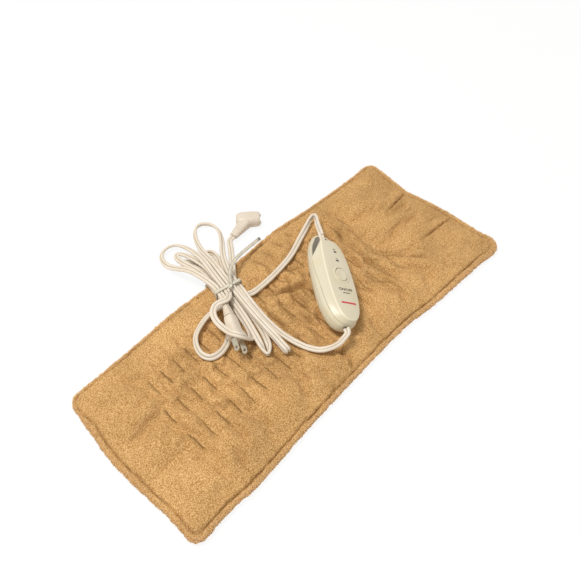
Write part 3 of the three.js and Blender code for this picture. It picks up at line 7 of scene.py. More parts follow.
import bmesh
import bpy
import numpy as np
from mathutils import Matrix, Vector
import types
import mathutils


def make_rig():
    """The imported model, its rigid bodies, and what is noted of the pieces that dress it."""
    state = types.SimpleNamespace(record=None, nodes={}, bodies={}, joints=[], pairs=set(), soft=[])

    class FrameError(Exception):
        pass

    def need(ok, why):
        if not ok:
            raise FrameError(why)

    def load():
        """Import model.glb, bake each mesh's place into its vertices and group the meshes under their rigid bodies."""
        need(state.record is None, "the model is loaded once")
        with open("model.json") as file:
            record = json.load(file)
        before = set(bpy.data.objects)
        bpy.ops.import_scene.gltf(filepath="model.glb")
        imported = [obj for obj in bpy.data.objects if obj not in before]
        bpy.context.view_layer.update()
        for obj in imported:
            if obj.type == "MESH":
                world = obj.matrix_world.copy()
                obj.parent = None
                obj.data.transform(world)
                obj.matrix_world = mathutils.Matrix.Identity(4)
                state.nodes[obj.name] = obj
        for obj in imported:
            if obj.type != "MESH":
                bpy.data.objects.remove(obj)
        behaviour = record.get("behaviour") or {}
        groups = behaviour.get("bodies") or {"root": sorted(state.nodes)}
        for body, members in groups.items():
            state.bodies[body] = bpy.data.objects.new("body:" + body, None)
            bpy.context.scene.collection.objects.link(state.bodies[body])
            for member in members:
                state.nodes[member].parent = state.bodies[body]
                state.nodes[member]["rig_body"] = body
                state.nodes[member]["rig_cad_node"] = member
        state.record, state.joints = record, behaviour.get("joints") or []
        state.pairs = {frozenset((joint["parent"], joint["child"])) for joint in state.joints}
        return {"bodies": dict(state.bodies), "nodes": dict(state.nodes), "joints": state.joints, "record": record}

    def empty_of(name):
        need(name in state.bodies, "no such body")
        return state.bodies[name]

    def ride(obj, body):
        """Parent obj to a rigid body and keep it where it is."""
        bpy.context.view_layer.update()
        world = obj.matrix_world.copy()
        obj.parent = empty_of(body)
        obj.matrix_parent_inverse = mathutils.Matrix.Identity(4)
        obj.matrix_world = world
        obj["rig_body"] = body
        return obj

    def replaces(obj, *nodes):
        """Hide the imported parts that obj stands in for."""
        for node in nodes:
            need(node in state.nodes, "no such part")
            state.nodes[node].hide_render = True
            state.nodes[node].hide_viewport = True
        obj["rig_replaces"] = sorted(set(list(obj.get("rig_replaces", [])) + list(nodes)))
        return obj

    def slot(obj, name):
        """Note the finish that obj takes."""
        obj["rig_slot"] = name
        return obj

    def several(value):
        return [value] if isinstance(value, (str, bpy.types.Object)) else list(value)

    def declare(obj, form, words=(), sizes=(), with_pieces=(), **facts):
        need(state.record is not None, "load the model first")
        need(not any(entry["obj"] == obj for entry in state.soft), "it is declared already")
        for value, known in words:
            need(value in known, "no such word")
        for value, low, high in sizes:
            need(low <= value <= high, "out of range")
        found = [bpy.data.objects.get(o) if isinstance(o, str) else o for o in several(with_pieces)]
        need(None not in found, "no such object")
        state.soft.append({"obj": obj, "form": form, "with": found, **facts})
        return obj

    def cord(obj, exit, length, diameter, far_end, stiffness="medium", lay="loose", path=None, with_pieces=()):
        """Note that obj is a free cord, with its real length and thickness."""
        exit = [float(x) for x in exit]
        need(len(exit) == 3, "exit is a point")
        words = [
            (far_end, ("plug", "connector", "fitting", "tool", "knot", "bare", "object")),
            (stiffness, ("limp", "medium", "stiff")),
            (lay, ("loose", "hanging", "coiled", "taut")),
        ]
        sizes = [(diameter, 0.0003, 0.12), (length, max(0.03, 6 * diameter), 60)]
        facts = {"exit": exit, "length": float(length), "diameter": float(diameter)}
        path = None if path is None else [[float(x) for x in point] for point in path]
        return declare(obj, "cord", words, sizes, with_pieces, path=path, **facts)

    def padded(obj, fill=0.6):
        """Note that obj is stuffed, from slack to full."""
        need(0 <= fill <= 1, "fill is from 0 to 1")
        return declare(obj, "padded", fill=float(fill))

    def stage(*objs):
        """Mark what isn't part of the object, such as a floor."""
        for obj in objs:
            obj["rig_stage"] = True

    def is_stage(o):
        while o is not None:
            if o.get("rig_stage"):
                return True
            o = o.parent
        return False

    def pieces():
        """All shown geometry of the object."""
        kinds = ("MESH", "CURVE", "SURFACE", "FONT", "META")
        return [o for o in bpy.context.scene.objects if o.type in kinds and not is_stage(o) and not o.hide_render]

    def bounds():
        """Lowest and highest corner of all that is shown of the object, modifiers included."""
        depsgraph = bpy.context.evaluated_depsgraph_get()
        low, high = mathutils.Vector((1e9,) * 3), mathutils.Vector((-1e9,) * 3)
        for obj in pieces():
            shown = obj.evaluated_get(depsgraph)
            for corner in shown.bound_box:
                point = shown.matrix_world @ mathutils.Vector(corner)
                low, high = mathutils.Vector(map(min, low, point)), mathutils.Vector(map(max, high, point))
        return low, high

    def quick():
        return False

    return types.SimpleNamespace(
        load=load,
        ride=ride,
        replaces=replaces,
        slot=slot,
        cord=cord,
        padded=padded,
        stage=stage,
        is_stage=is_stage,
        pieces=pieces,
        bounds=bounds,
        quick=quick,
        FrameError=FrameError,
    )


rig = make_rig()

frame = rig.load()
CAD_BOX = [list(corner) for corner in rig.bounds()]

bl_info = {
    "name": "Heating pad with controller",
    "version": (1, 0, 0),
    "blender": (4, 5, 0),
    "location": "View3D > Sidebar > Heating pad",
    "description": "Dresses a plush heating pad, its hand controller and its bundled cord set",
    "category": "Object",
}

# Millimetres are used for every size, and turned to metres where a mesh is made
MM = 0.001
BASE = "pad_and_controller"
BUTTON = "power_button"
SEED = 7

# Pad, as its solid has it
PAD_LENGTH = 486
PAD_WIDTH = 203
PAD_CORNER = 14
PAD_CREST = 11
SEAT_GAP = 0.3
BACK_THICK = 2.4
POCKET_TOP = 7
TACK_COLUMNS = 19
TACK_PITCH = 17
TACK_START = -176.5
TACK_LENGTH = 20
TACK_ROWS = (-28, 10, 50)
INLET_PLACE = -33
INLET_WIDTH = 26
HALF_LENGTH = PAD_LENGTH / 2
HALF_WIDTH = PAD_WIDTH / 2

# Controller case
CASE_LENGTH = 129.4
CASE_WIDTH = 46.9
CASE_POWER = 2.6
RING_POINTS = 320
SOLID_RING_POINTS = 40
CASE_TAPER = 0.0008
CASE_WALL = 2
PARTING_HEIGHT = 12.6
UPPER_FOOT = PARTING_HEIGHT + SEAT_GAP
CASE_HEIGHT = 23.4
RIDGE_HEIGHT = 22
RIDGE_INSET = 7
CEILING = RIDGE_HEIGHT - 1.2
FRONT_STEP = 8.4
CHAMFER_START = (CASE_LENGTH / 2 - 8.2, 6.1)
CHAMFER_END = (CASE_LENGTH / 2 - 40.7, 22.9)
PLATEAU_SHIFT = -2.95
PLATEAU_BACK = 3.5
PANEL_SHIFT = -4.2
CASE_PLACE = (42.6, -2.1)
CASE_HEADING = math.radians(53.1)
CASE_ROLL = math.radians(28)
LIGHT_PLACES = (31.8, 19)
LIGHT_LENGTH = 3.4
LIGHT_WIDTH = 2.1
BUTTON_PLACE = LIGHT_PLACES[1] - 20
BUTTON_DIAMETER = 14
BUTTON_STRETCH = 1.25
BUTTON_RISE = 0.6
BUTTON_FLANGE = 1.6
STEM_FOOT = 14.2
SLIDE_GAP = 0.4
GLAND_PROUD = 1

# Flat twin-lead cord, its bundle and its plug
CORD_WIDTH = 7.2
CORD_THICK = 3.4
CORD_GROOVE = 1.1
WAIST_PLACE = (-35, 76)
WAIST_HEADING = math.radians(78)
WAIST_HALF = 8
COLUMN_PITCH = 7.9
LAYER_PITCH = 4.2
TIE_WIDTH = 4
TIE_THICK = 0.8
PLUG_FACE = (-75.2, 19, 24.4)
PLUG_HEADING = math.radians(242.5)
PLUG_ROLL = math.radians(-52)
PLUG_LENGTH = 29
PLUG_WIDTH = 22
PLUG_THICK = 16
PLUG_RELIEF_LENGTH = 14
NECK_WIDE = (13, 10.4)
NECK_SLIM = (9.4, 6)

# Angled connector
CONNECTOR_PLACE = (60.4, 143.5, 8.3)
CONNECTOR_HEADING = math.radians(-42)
CONNECTOR_LENGTH = 30
CONNECTOR_WIDTH = 20
CONNECTOR_THICK = 16
CONNECTOR_ENTRY = -7
CONNECTOR_NOSE = 1.2
RELIEF_END = (28.6, 136.4, 8.3)
NECK_ROOT = (16, 13)
NECK_DEEP = 5
PIN_SPACING = 12
NOSE_DIAMETER = 3.4

# The photograph's camera
CAMERA_PLACE = (-285.3, -258.3, 566.2)
CAMERA_PITCH = math.radians(53.17)
CAMERA_YAW = math.radians(43.74)
CAMERA_ROLL = math.radians(-0.54)
CAMERA_LENS = 38.17
CAMERA_SENSOR = 36

# Floor and lamp
FLOOR_HALF = 6000
FLOOR_DROP = 0.4
LAMP_PLACE = (-300, 320, 1300)
LAMP_SIZE = 340


def linear(code):
    """Turns an sRGB hex colour into linear red, green and blue."""
    values = [int(code[i:i + 2], 16) / 255 for i in (0, 2, 4)]
    return tuple(v / 12.92 if v <= 0.04045 else ((v + 0.055) / 1.055) ** 2.4 for v in values)


def eased(value, start, end):
    """An easy step from 0, where a value is at its start, to 1, where it is at its end."""
    k = np.clip((value - start) / (end - start), 0, 1)
    return k * k * (3 - 2 * k)


def lerp(a, b, t):
    """A point a share t of the way from a to b."""
    return a + (b - a) * t


def unit(vectors):
    """Vectors drawn to a length of 1."""
    return vectors / np.linalg.norm(vectors, axis=-1, keepdims=True)


def bell(distance, width):
    """A soft hump, 1 in its middle, that fades out over a width."""
    return np.exp(-(distance / width) ** 2)


# Settings


def colour_property(title, text, code):
    """A colour that the user may change."""
    return bpy.props.FloatVectorProperty(
        name=title, description=text, subtype="COLOR", size=3, min=0, max=1, default=linear(code))


def size_property(title, text, millimetres):
    """A length that the user may change."""
    return bpy.props.FloatProperty(
        name=title, description=text, subtype="DISTANCE", unit="LENGTH", min=0, default=millimetres * MM)


class PadSettings(bpy.types.PropertyGroup):
    """Sizes and colours of the plush pad."""

    plush: colour_property("Plush", "Lit colour of the plush", "DEB67F")
    # Plush depth is partly the fibres' own grain and partly painted shade between the tufts
    plush_grain_shade: colour_property("Plush depth", "Colour between the fibres", "9E713C")
    # Crease is painted shade: it darkens the bottoms of folds, the slits of dashes, the seam and the rim's underside
    crease: colour_property("Crease", "Colour at the bottom of a fold or seam", "6B4A22")
    thread: colour_property("Thread", "Sewing thread", "8E6A38")
    seam_depth: size_property("Seam depth", "How deep the seam pulls the plush in", 2.2)
    tack_depth: size_property("Tack depth", "How deep a sewn dash pulls the plush in", 3.4)
    stitch_length: size_property("Stitch length", "Length of one stitch", 2.6)
    thread_size: size_property("Thread", "Thickness of the thread", 0.5)
    pile_length: size_property("Pile length", "Length of a tuft at the rim", 1.6)
    pile_size: size_property("Pile size", "Thickness of a tuft at its root", 0.7)


class ControllerSettings(bpy.types.PropertyGroup):
    """Colours of the hand controller."""

    case: colour_property("Case", "Moulded case", "D1C9B2")
    # The end band's grey is painted shade on the slanted end's wall and on the step below it
    band: colour_property("End band", "Recessed band at the pad lead's end", "7E786C")
    window: colour_property("Window", "Smoked light window", "3A3631")
    ink: colour_property("Marks", "Printed lettering and bars", "403D38")
    red: colour_property("Red bar", "Printed red bar", "C4424A")


class CordSettings(bpy.types.PropertyGroup):
    """Colours of the cord set."""

    vinyl: colour_property("Vinyl", "Cord and plug", "DBD0C0")
    # The groove colour is painted shade in the groove between the leads
    groove: colour_property("Groove", "Grey in the groove between the leads", "77705F")
    moulding: colour_property("Connector", "Angled connector", "D3C8B9")
    tie: colour_property("Tie", "Twist tie", "DAD2BF")
    steel: colour_property("Blades", "Plated blades", "C4BBA6")


class StageSettings(bpy.types.PropertyGroup):
    """Floor and light."""

    floor: colour_property("Floor", "Plain pale floor", "FAFAFA")
    key_power: bpy.props.FloatProperty(
        name="Key light", description="Power of the large soft lamp", subtype="POWER", unit="POWER",
        default=12.4)
    sky: bpy.props.FloatProperty(
        name="Sky", description="Strength of the even light from all round", min=0, default=0.66)


class HeatingPadSettings(bpy.types.PropertyGroup):
    """All settings of the heating pad."""

    pad: bpy.props.PointerProperty(type=PadSettings, name="Pad", description="Plush pad")
    controller: bpy.props.PointerProperty(
        type=ControllerSettings, name="Controller", description="Hand controller")
    cords: bpy.props.PointerProperty(type=CordSettings, name="Cords", description="Cord set")
    stage: bpy.props.PointerProperty(type=StageSettings, name="Stage", description="Floor and light")


def settings():
    """The settings of this scene."""
    return bpy.context.scene.heating_pad


# Nodes and materials


def add_node(tree, kind, inputs=None, out=None, **values):
    """Adds a node, sets its properties, and sets or links its inputs. Gives the node or one output."""
    node = tree.nodes.new(kind)
    for name, value in values.items():
        setattr(node, name, value)
    for name, value in (inputs or {}).items():
        socket = node.inputs[name]
        if isinstance(value, bpy.types.NodeSocket):
            tree.links.new(value, socket)
        else:
            socket.default_value = value
    return node if out is None else node.outputs[out]


def rgba(colour, *shade):
    """A colour for a socket, darker or paler by one factor or by one for each channel."""
    factors = shade * 3 if len(shade) == 1 else shade or (1, 1, 1)
    return (*(min(1, c * k) for c, k in zip(colour, factors)), 1)


def cleared(owner):
    """The emptied node tree of a material or a world."""
    owner.use_nodes = True
    owner.node_tree.nodes.clear()
    return owner.node_tree


def finish(name, even, patches=None, colours=(), tone=None, marked=None, gloss=None, bumps=()):
    """A material. What is even all over stands on the shader's own sockets.

    Patches of noise lead from the first colour to the second, and tone multiplies both in broader patches.
    An attribute of the piece marks places in another colour, and the gloss follows the patches. Bumps are
    a depth in millimetres, a strength and a noise, or no noise where the patches themselves stand out.
    """
    material = bpy.data.materials.get(name) or bpy.data.materials.new(name)
    tree = cleared(material)
    shader = add_node(tree, "ShaderNodeBsdfPrincipled", even)
    add_node(tree, "ShaderNodeOutputMaterial", {"Surface": shader.outputs["BSDF"]})
    if patches is None:
        return material
    place = add_node(tree, "ShaderNodeTexCoord", out="Object")

    def patchwork(size, detail=2, roughness=0.5, low=0, high=1):
        """Noise with features of so many millimetres, stretched so that low becomes 0 and high becomes 1."""
        grain = {"Vector": place, "Scale": 1 / (size * MM), "Detail": detail, "Roughness": roughness}
        value = add_node(tree, "ShaderNodeTexNoise", grain, "Fac")
        span = {"Value": value, "From Min": low, "From Max": high}
        return add_node(tree, "ShaderNodeMapRange", span, "Result")

    patch = patchwork(**patches)
    layers = [("MIX", patch, colours[1])]
    if tone:
        broad, darker, lighter = tone
        sides = {0: patchwork(**broad), 6: darker, 7: lighter}
        layers.append(("MULTIPLY", 1, add_node(tree, "ShaderNodeMix", sides, 2, data_type="RGBA")))
    if marked:
        attribute, mark = marked
        share = add_node(tree, "ShaderNodeAttribute", out="Fac", attribute_name=attribute)
        layers.append(("MIX", share, mark))
    body = colours[0]
    for blend, share, colour in layers:
        sides = {0: share, 6: body, 7: colour}
        body = add_node(tree, "ShaderNodeMix", sides, 2, data_type="RGBA", blend_type=blend)
    tree.links.new(body, shader.inputs["Base Color"])
    if gloss:
        span = {"Value": patch, "To Min": gloss[0], "To Max": gloss[1]}
        tree.links.new(add_node(tree, "ShaderNodeMapRange", span, "Result"), shader.inputs["Roughness"])
    below = {}
    for depth, strength, relief in bumps:
        height = patchwork(**relief) if relief else patch
        sizes = {"Height": height, "Distance": depth * MM, "Strength": strength}
        below = {"Normal": add_node(tree, "ShaderNodeBump", sizes | below, "Normal")}
    if below:
        tree.links.new(below["Normal"], shader.inputs["Normal"])
    return material


def plush_material():
    """Brushed polyester plush: matt fibres with a soft sheen, and tufts of lighter and darker fibre, whose darker
    colour is partly painted shade in the depths.
    """
    look = settings().pad
    even = {"Roughness": 0.95, "Specular IOR Level": 0.15, "Sheen Weight": 0.25, "Sheen Roughness": 0.5,
            "Sheen Tint": rgba(look.plush)}
    # Tufts of about a millimetre, as the brushed pile gathers; the darker colour between them is partly painted shade
    tufts = dict(size=1.05, detail=2, roughness=0.6, low=0.38, high=0.62)
    # The pile lies this way and that, which leaves broad lighter and darker patches
    nap = dict(size=48, detail=3, low=0.32, high=0.68)
    fibres, waves = dict(size=1.4, detail=3, roughness=0.7), dict(size=6)
    # The marked attribute mixes in painted shade at folds, dash slits, the seam and under the rim
    return finish(
        "brushed_polyester_plush", even, tufts, (rgba(look.plush_grain_shade), rgba(look.plush)),
        tone=(nap, (0.85, 0.84, 0.81, 1), (1.1, 1.1, 1.09, 1)), marked=("crease", rgba(look.crease)),
        bumps=[(1.2, 0.6, fibres), (1.2, 0.2, waves)])


def pile_material():
    """Single tufts of the plush seen against the light: a paler copy of the plush, as painted light on them, with the
    same soft sheen.
    """
    return finish("polyester_pile_tips", {
        "Base Color": rgba(settings().pad.plush, 1.15, 1.2, 1.32), "Roughness": 1,
        "Specular IOR Level": 0.1, "Sheen Weight": 0.3})


def thread_material():
    """Spun polyester sewing thread: two plies that catch the light."""
    thread = settings().pad.thread
    plies = dict(size=0.6, low=0.35, high=0.65)
    return finish(
        "spun_polyester_thread", {"Roughness": 0.7, "Sheen Weight": 0.2}, plies,
        (rgba(thread, 0.7), rgba(thread)), bumps=[(0.15, 1, None)])


def moulded_material(name, colour, roughness=0.3, speck=0.05):
    """Moulded plastic: a fine spark texture, a soft gloss, a faint yellowing, and a painted highlight where a piece
    marks an edge.
    """
    yellowing = dict(size=24, detail=3, low=0.35, high=0.7)
    spark = dict(size=0.6, roughness=0.6)
    # The edge attribute mixes in a paler colour as a painted highlight
    return finish(
        name, {"IOR": 1.5, "Specular IOR Level": 0.45}, yellowing,
        (rgba(colour), rgba(colour, 0.97, 0.94, 0.86)), marked=("edge", rgba(colour, 1.22)),
        gloss=(roughness - 0.05, roughness + 0.07), bumps=[(speck, 0.6, spark)])


def case_material():
    """The controller's moulded ABS."""
    return moulded_material("moulded_abs_case", settings().controller.case)


def window_material():
    """The light windows' smoked acrylic."""
    return moulded_material("smoked_acrylic", settings().controller.window, roughness=0.15, speck=0.01)


def vinyl_material(name="soft_pvc_vinyl", colour=None):
    """Soft PVC: satin, slightly grubby where handled, with grey painted shade in the groove between the two leads."""
    look = settings().cords
    shade = look.vinyl if colour is None else colour
    grime = dict(size=14, detail=4, roughness=0.6, low=0.4, high=0.75)
    skin = dict(size=1.2, detail=3)
    return finish(
        name, {"IOR": 1.52, "Specular IOR Level": 0.4}, grime,
        (rgba(shade), rgba(shade, 0.92, 0.88, 0.82)), marked=("groove", rgba(look.groove)),
        gloss=(0.4, 0.55), bumps=[(0.06, 0.5, skin)])


def plated_material(name, colour, roughness):
    """Bright plated metal: a fine grain and a few dull spots."""
    spots = dict(size=3, detail=4, roughness=0.65, low=0.45, high=0.8)
    return finish(
        name, {"Metallic": 1}, spots, (rgba(colour), rgba(colour, 0.72)),
        gloss=(roughness, roughness + 0.2), bumps=[(0.02, 0.4, dict(size=0.5))])


def tie_material():
    """Paper-covered wire tie: matt, creased and rubbed in patches, darker along its edges, with a dark tip where its
    paper is worn away.
    """
    paper = settings().cords.tie
    rubbed = dict(size=5, detail=4, roughness=0.7, low=0.4, high=0.7)
    creases = dict(size=1.5, detail=3)
    return finish(
        "paper_covered_wire", {"Roughness": 0.8}, rubbed, (rgba(paper), rgba(paper, 0.72)),
        marked=("edge", rgba(linear("3B3936"))), bumps=[(0.12, 1, creases)])


def felt_material():
    """Needled felt: matt matted fibres."""
    fibres = dict(size=2, detail=4, roughness=0.7, low=0.3, high=0.7)
    return finish(
        "needled_felt", {"Roughness": 1, "Sheen Weight": 0.2}, fibres,
        (rgba(linear("C9C2B2")), rgba(linear("E0DACC"))), bumps=[(0.4, 1, None)])


# Meshes


def new_object(name, data):
    """An object of this scene."""
    item = bpy.data.objects.new(name, data)
    bpy.context.scene.collection.objects.link(item)
    return item


def new_mesh(name, points, faces):
    """A mesh from points in millimetres."""
    mesh = bpy.data.meshes.new(name)
    mesh.from_pydata((np.asarray(points, float) * MM).tolist(), [], faces)
    return mesh


def plain_mesh(item):
    """The mesh that an object shows, with its modifiers carried out."""
    bpy.context.view_layer.update()
    graph = bpy.context.evaluated_depsgraph_get()
    return bpy.data.meshes.new_from_object(item.evaluated_get(graph))


def mesh_piece(name, shape, material, slot, replaced=(), body=BASE, shade_angle=40, attributes=None,
               holes=()):
    """Makes a piece from points in millimetres and faces, with the nodes it stands for and its slot."""
    mesh = new_mesh(name, *shape)
    for key, values in (attributes or {}).items():
        layer = mesh.attributes.new(key, "FLOAT", "POINT")
        layer.data.foreach_set("value", np.asarray(values, np.float32))
    mesh.update()
    piece = new_object(name, mesh)
    face_outwards(mesh)
    mesh.shade_smooth()
    mesh.set_sharp_from_angle(angle=math.radians(shade_angle))
    mesh.materials.append(material)
    if holes:
        cut_holes(piece, holes)
    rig.ride(piece, body)
    if replaced:
        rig.replaces(piece, *replaced)
    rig.slot(piece, slot)
    return piece


def moved(shape, move):
    """A shape whose points are moved by a function."""
    return move(shape[0]), shape[1]


def face_outwards(mesh):
    """Turns the faces of a closed mesh outwards."""
    work = bmesh.new()
    work.from_mesh(mesh)
    bmesh.ops.recalc_face_normals(work, faces=work.faces)
    work.to_mesh(mesh)
    work.free()


def band_faces(rings, count, closed=True):
    """Quads between rings of equal point counts."""
    faces = []
    for r in range(rings - 1):
        for i in range(count if closed else count - 1):
            k = (i + 1) % count
            faces.append((r * count + i, r * count + k, (r + 1) * count + k, (r + 1) * count + i))
    return faces


def loft(rings):
    """Points and faces of a skin over rings, closed at both ends."""
    count = len(rings[0])
    points = np.concatenate(rings)
    faces = band_faces(len(rings), count)
    for start in (0, (len(rings) - 1) * count):
        middle = len(points)
        points = np.vstack([points, points[start:start + count].mean(axis=0)])
        faces += [(start + i, start + (i + 1) % count, middle) for i in range(count)]
    return points, faces


def joined(*shapes):
    """Joins several (points, faces) into one."""
    points = []
    faces = []
    start = 0
    for some, sides in shapes:
        points.append(np.asarray(some, float))
        faces += [tuple(i + start for i in side) for side in sides]
        start += len(some)
    return np.concatenate(points), faces


def lathe(profile, sides=64):
    """Points and faces of a closed profile of (radius, height) turned about the Z axis."""
    angles = np.arange(sides) / sides * 2 * math.pi
    wheel = np.stack([np.cos(angles), np.sin(angles), np.zeros(sides)], axis=1)
    return loft([wheel * r + [0, 0, h] for r, h in profile])


def cross_ring(x, width, height, count, power):
    """A rounded rectangle standing square to X."""
    angles = (np.arange(count) + 0.5) / count * 2 * math.pi
    c, s = np.cos(angles), np.sin(angles)
    y = np.sign(c) * np.abs(c) ** (2 / power) * (width / 2)
    z = np.sign(s) * np.abs(s) ** (2 / power) * (height / 2)
    return np.stack([np.full(count, x), y, z], axis=1)


def cubic(start, end, leave, arrive, t):
    """A cubic from start to end, with the slopes at which it leaves and arrives."""
    square = -3 * start + 3 * end - 2 * leave - arrive
    return start + leave * t + square * t ** 2 + (2 * start - 2 * end + leave + arrive) * t ** 3


def curve_points(places, steps):
    """A centripetal Catmull-Rom curve through places of any dimension, with steps + 1 even parameters."""
    places = np.asarray(places, float)
    last = len(places) - 1
    padded = np.vstack([2 * places[0] - places[1], places, 2 * places[-1] - places[-2]])
    result = []
    for i in range(steps + 1):
        p = last * i / steps
        k = min(int(p), last - 1)
        t = p - k
        p0, p1, p2, p3 = padded[k:k + 4]
        gaps = [max(np.linalg.norm((b - a)[:3]), 1e-4) ** 0.5 for a, b in ((p0, p1), (p1, p2), (p2, p3))]
        t1 = (p1 - p0) / gaps[0] - (p2 - p0) / (gaps[0] + gaps[1]) + (p2 - p1) / gaps[1]
        t2 = (p2 - p1) / gaps[1] - (p3 - p1) / (gaps[1] + gaps[2]) + (p3 - p2) / gaps[2]
        result.append(cubic(p1, p2, t1 * gaps[1], t2 * gaps[1], t))
    return np.array(result)


def turned(heading, roll):
    """The turn by roll about X, then by heading about Z."""
    return np.array(Matrix.Rotation(heading, 3, "Z") @ Matrix.Rotation(roll, 3, "X"))


def placed(points, heading, roll, place):
    """Points turned by roll about X, then by heading about Z, then moved."""
    return np.asarray(points) @ turned(heading, roll).T + np.asarray(place, float)


def cut_holes(piece, tools):
    """Cuts the tools' shapes from a piece and leaves a plain mesh."""
    helpers = []
    for shape in tools:
        helper = new_object("hole", new_mesh("hole", *shape))
        face_outwards(helper.data)
        helpers.append(helper)
        modifier = piece.modifiers.new("hole", "BOOLEAN")
        modifier.object = helper
        modifier.operation = "DIFFERENCE"
        modifier.solver = "EXACT"
    apply_modifiers(piece)
    for helper in helpers:
        bpy.data.objects.remove(helper)


def apply_modifiers(piece):
    """Replaces a piece's mesh by the result of its modifiers."""
    mesh = plain_mesh(piece)
    piece.modifiers.clear()
    piece.data = mesh


# Cord route, as the solids have it

LAYER_BASE = PAD_CREST + SEAT_GAP + TIE_THICK + SEAT_GAP + CORD_THICK / 2 + 0.3
BED_HEIGHT = PAD_CREST + SEAT_GAP + CORD_THICK / 2
ALONG = np.array([math.cos(WAIST_HEADING), math.sin(WAIST_HEADING), 0])
ACROSS = np.array([math.sin(WAIST_HEADING), -math.cos(WAIST_HEADING), 0])
UP = np.array([0, 0, 1.0])
WAIST = np.array([*WAIST_PLACE, 0.0])
UPPER, LOWER = 1, -1
EDGE_FALL = (24, 84)
LOBE_STEPS = 96

# Loops and folds of the bundle, in the order of the cord: the slots they join, how far they reach, how wide
# they swing out and back, their bend in plan, their lowest height, where they fall to it, and the tip's roll
LOOP_RIGHT = dict(
    way=UPPER, start="d1", end="c2", reach=110, out=17, back=9, early=(0.6, 2), bend=0.42, low=5,
    fall=EDGE_FALL, roll=1.2, roll_span=0.3)
FOLD_LONG = dict(
    way=LOWER, start="c2", end="c1", reach=95, bend=0.12, fall=(70, 95), low_top=19.6, low_under=13.6)
LOOP_SHORT = dict(
    way=UPPER, start="c1", end="c0", reach=61, out=1, back=8, early=(2, 0.4), bend=0.24, low=8,
    fall=(24, 60), roll=1.1, roll_span=0.22)
LOOP_LEFT_FOLD = dict(
    way=LOWER, start="c0", end="b1", reach=86, out=3.4, back=1, bend=-0.222, low=15.2, fall=(70, 86),
    roll=1.4, roll_span=0.16)
LOOP_INNER = dict(
    way=UPPER, start="b1", end="a1", reach=80, out=2.5, back=4, bend=-0.3, low=8, fall=EDGE_FALL,
    roll=0.5, roll_span=0.2)
LOOP_LOWEST = dict(
    way=UPPER, start="a0", end="b0", reach=68, out=2, back=2, bend=-0.3, low=3, fall=(22, 66),
    roll=0.4, roll_span=0.2)
LOOP_LEFT = dict(
    way=UPPER, start="b2", end="a2", reach=98, out=14, back=15, early=(1.6, 0.2), bend=-0.46, low=6,
    fall=(30, 90), roll=0.9, roll_span=0.26)

# Free stretches: x, y, z and roll in degrees
FAR_LEFT_POINTS = [
    [-50.6, 66.2, 18.2, 0], [-56.5, 65.4, 17.2, 20], [-64, 67.4, 16.4, 30], [-74, 67.6, 15.6, 30],
    [-86, 65, 15, 30], [-98, 59.5, 15, 40], [-104.5, 53.3, 15, 45], [-109.2, 44.4, 15, 45],
    [-110.3, 34.2, 15, 45], [-106.5, 27, 15, 40], [-98, 24.6, 14.4, 25], [-89.2, 25.8, 13.7, 10],
    [-81.5, 29, BED_HEIGHT + 0.2, 0], [-70, 38, BED_HEIGHT + 0.2, 0], [-58, 52, BED_HEIGHT + 0.2, 0],
]
OVER_PLUG_POINTS = [
    [-49, 42, BED_HEIGHT + 0.3, 0], [-54.4, 24, 13.4, 0], [-60.2, 14.4, 13.3, 0], [-68, 9.6, 26.2, 0],
    [-75.5, 12.5, 37.4, 0], [-80.5, 22, 38.4, 0], [-81, 33, 36.4, 0], [-78.8, 46.5, 33.5, 0],
    [-74.5, 56, 31.5, 0], [-69, 61.5, 30.5, 0], [-63, 63.6, 30.5, 0], [-57, 61.8, 31, 0],
    [-51, 60.4, 30, 0], [-45.5, 63.5, 26.6, 0],
]

# The tie's two ends
TIE_TAIL = [
    [-31, 75, 26.6], [-24, 85, 28.6], [-12, 93.5, 27], [2, 99, 24], [21, 102.5, 20.5], [43, 104.5, 18],
]
TIE_STUB = [[-31.5, 74.5, 26.5], [-35, 71, 28.5], [-40, 69, 31.5]]


def slot_place(key):
    """A strand's place in the waist: column a to d from the left, layer 0 to 2 from below."""
    return ("abcd".index(key[0]) - 1.5) * COLUMN_PITCH, LAYER_BASE + int(key[1]) * LAYER_PITCH


def waist_point(key, along):
    """A point of a strand in the waist."""
    across, z = slot_place(key)
    return WAIST + ALONG * along + ACROSS * across + UP * z


def lobe_axis(way, middle, bend, turn_length, distance):
    """The middle line of a lobe, which leaves the waist square and turns by bend, and its right side."""
    steps = 24
    point = WAIST + ALONG * way * WAIST_HALF + ACROSS * middle
    for i in range(steps):
        turn = bend * eased((i + 0.5) / steps * distance, 0, turn_length)
        point = point + (ALONG * way * math.cos(turn) + ACROSS * math.sin(turn)) * distance / steps
    turn = bend * eased(distance, 0, turn_length)
    return point, ACROSS * math.cos(turn) - ALONG * way * math.sin(turn)


def loop_samples(way, start, end, reach, out, back, bend, low, fall, roll, roll_span, early=(1, 1)):
    """A loop that leaves one slot, swings round a teardrop and comes back to another."""
    (across0, z0), (across1, z1) = slot_place(start), slot_place(end)
    side = -1 if across0 < across1 or (across0 == across1 and z0 > z1) else 1
    samples = []
    for i in range(LOBE_STEPS + 1):
        t = i / LOBE_STEPS
        distance = reach * math.sin(math.pi * t)
        point, right = lobe_axis(way, (across0 + across1) / 2, bend, reach, distance)
        wide, power = (out, early[0]) if t < 0.5 else (back, early[1])
        round_off = max(math.sin(math.pi * t), 0) ** power
        swing = (1 + 0.3 * power) * math.sin(2 * math.pi * t) * round_off * wide
        apart = (across0 - across1) / 2 * math.cos(math.pi * t)
        point = point + right * (apart + side * swing)
        level = lerp(z0, z1, eased(t, 0.35, 0.65))
        point[2] = lerp(level, low, eased(distance, *fall))
        samples.append((point, roll * math.exp(-((t - 0.5) / roll_span) ** 4), False))
    return samples


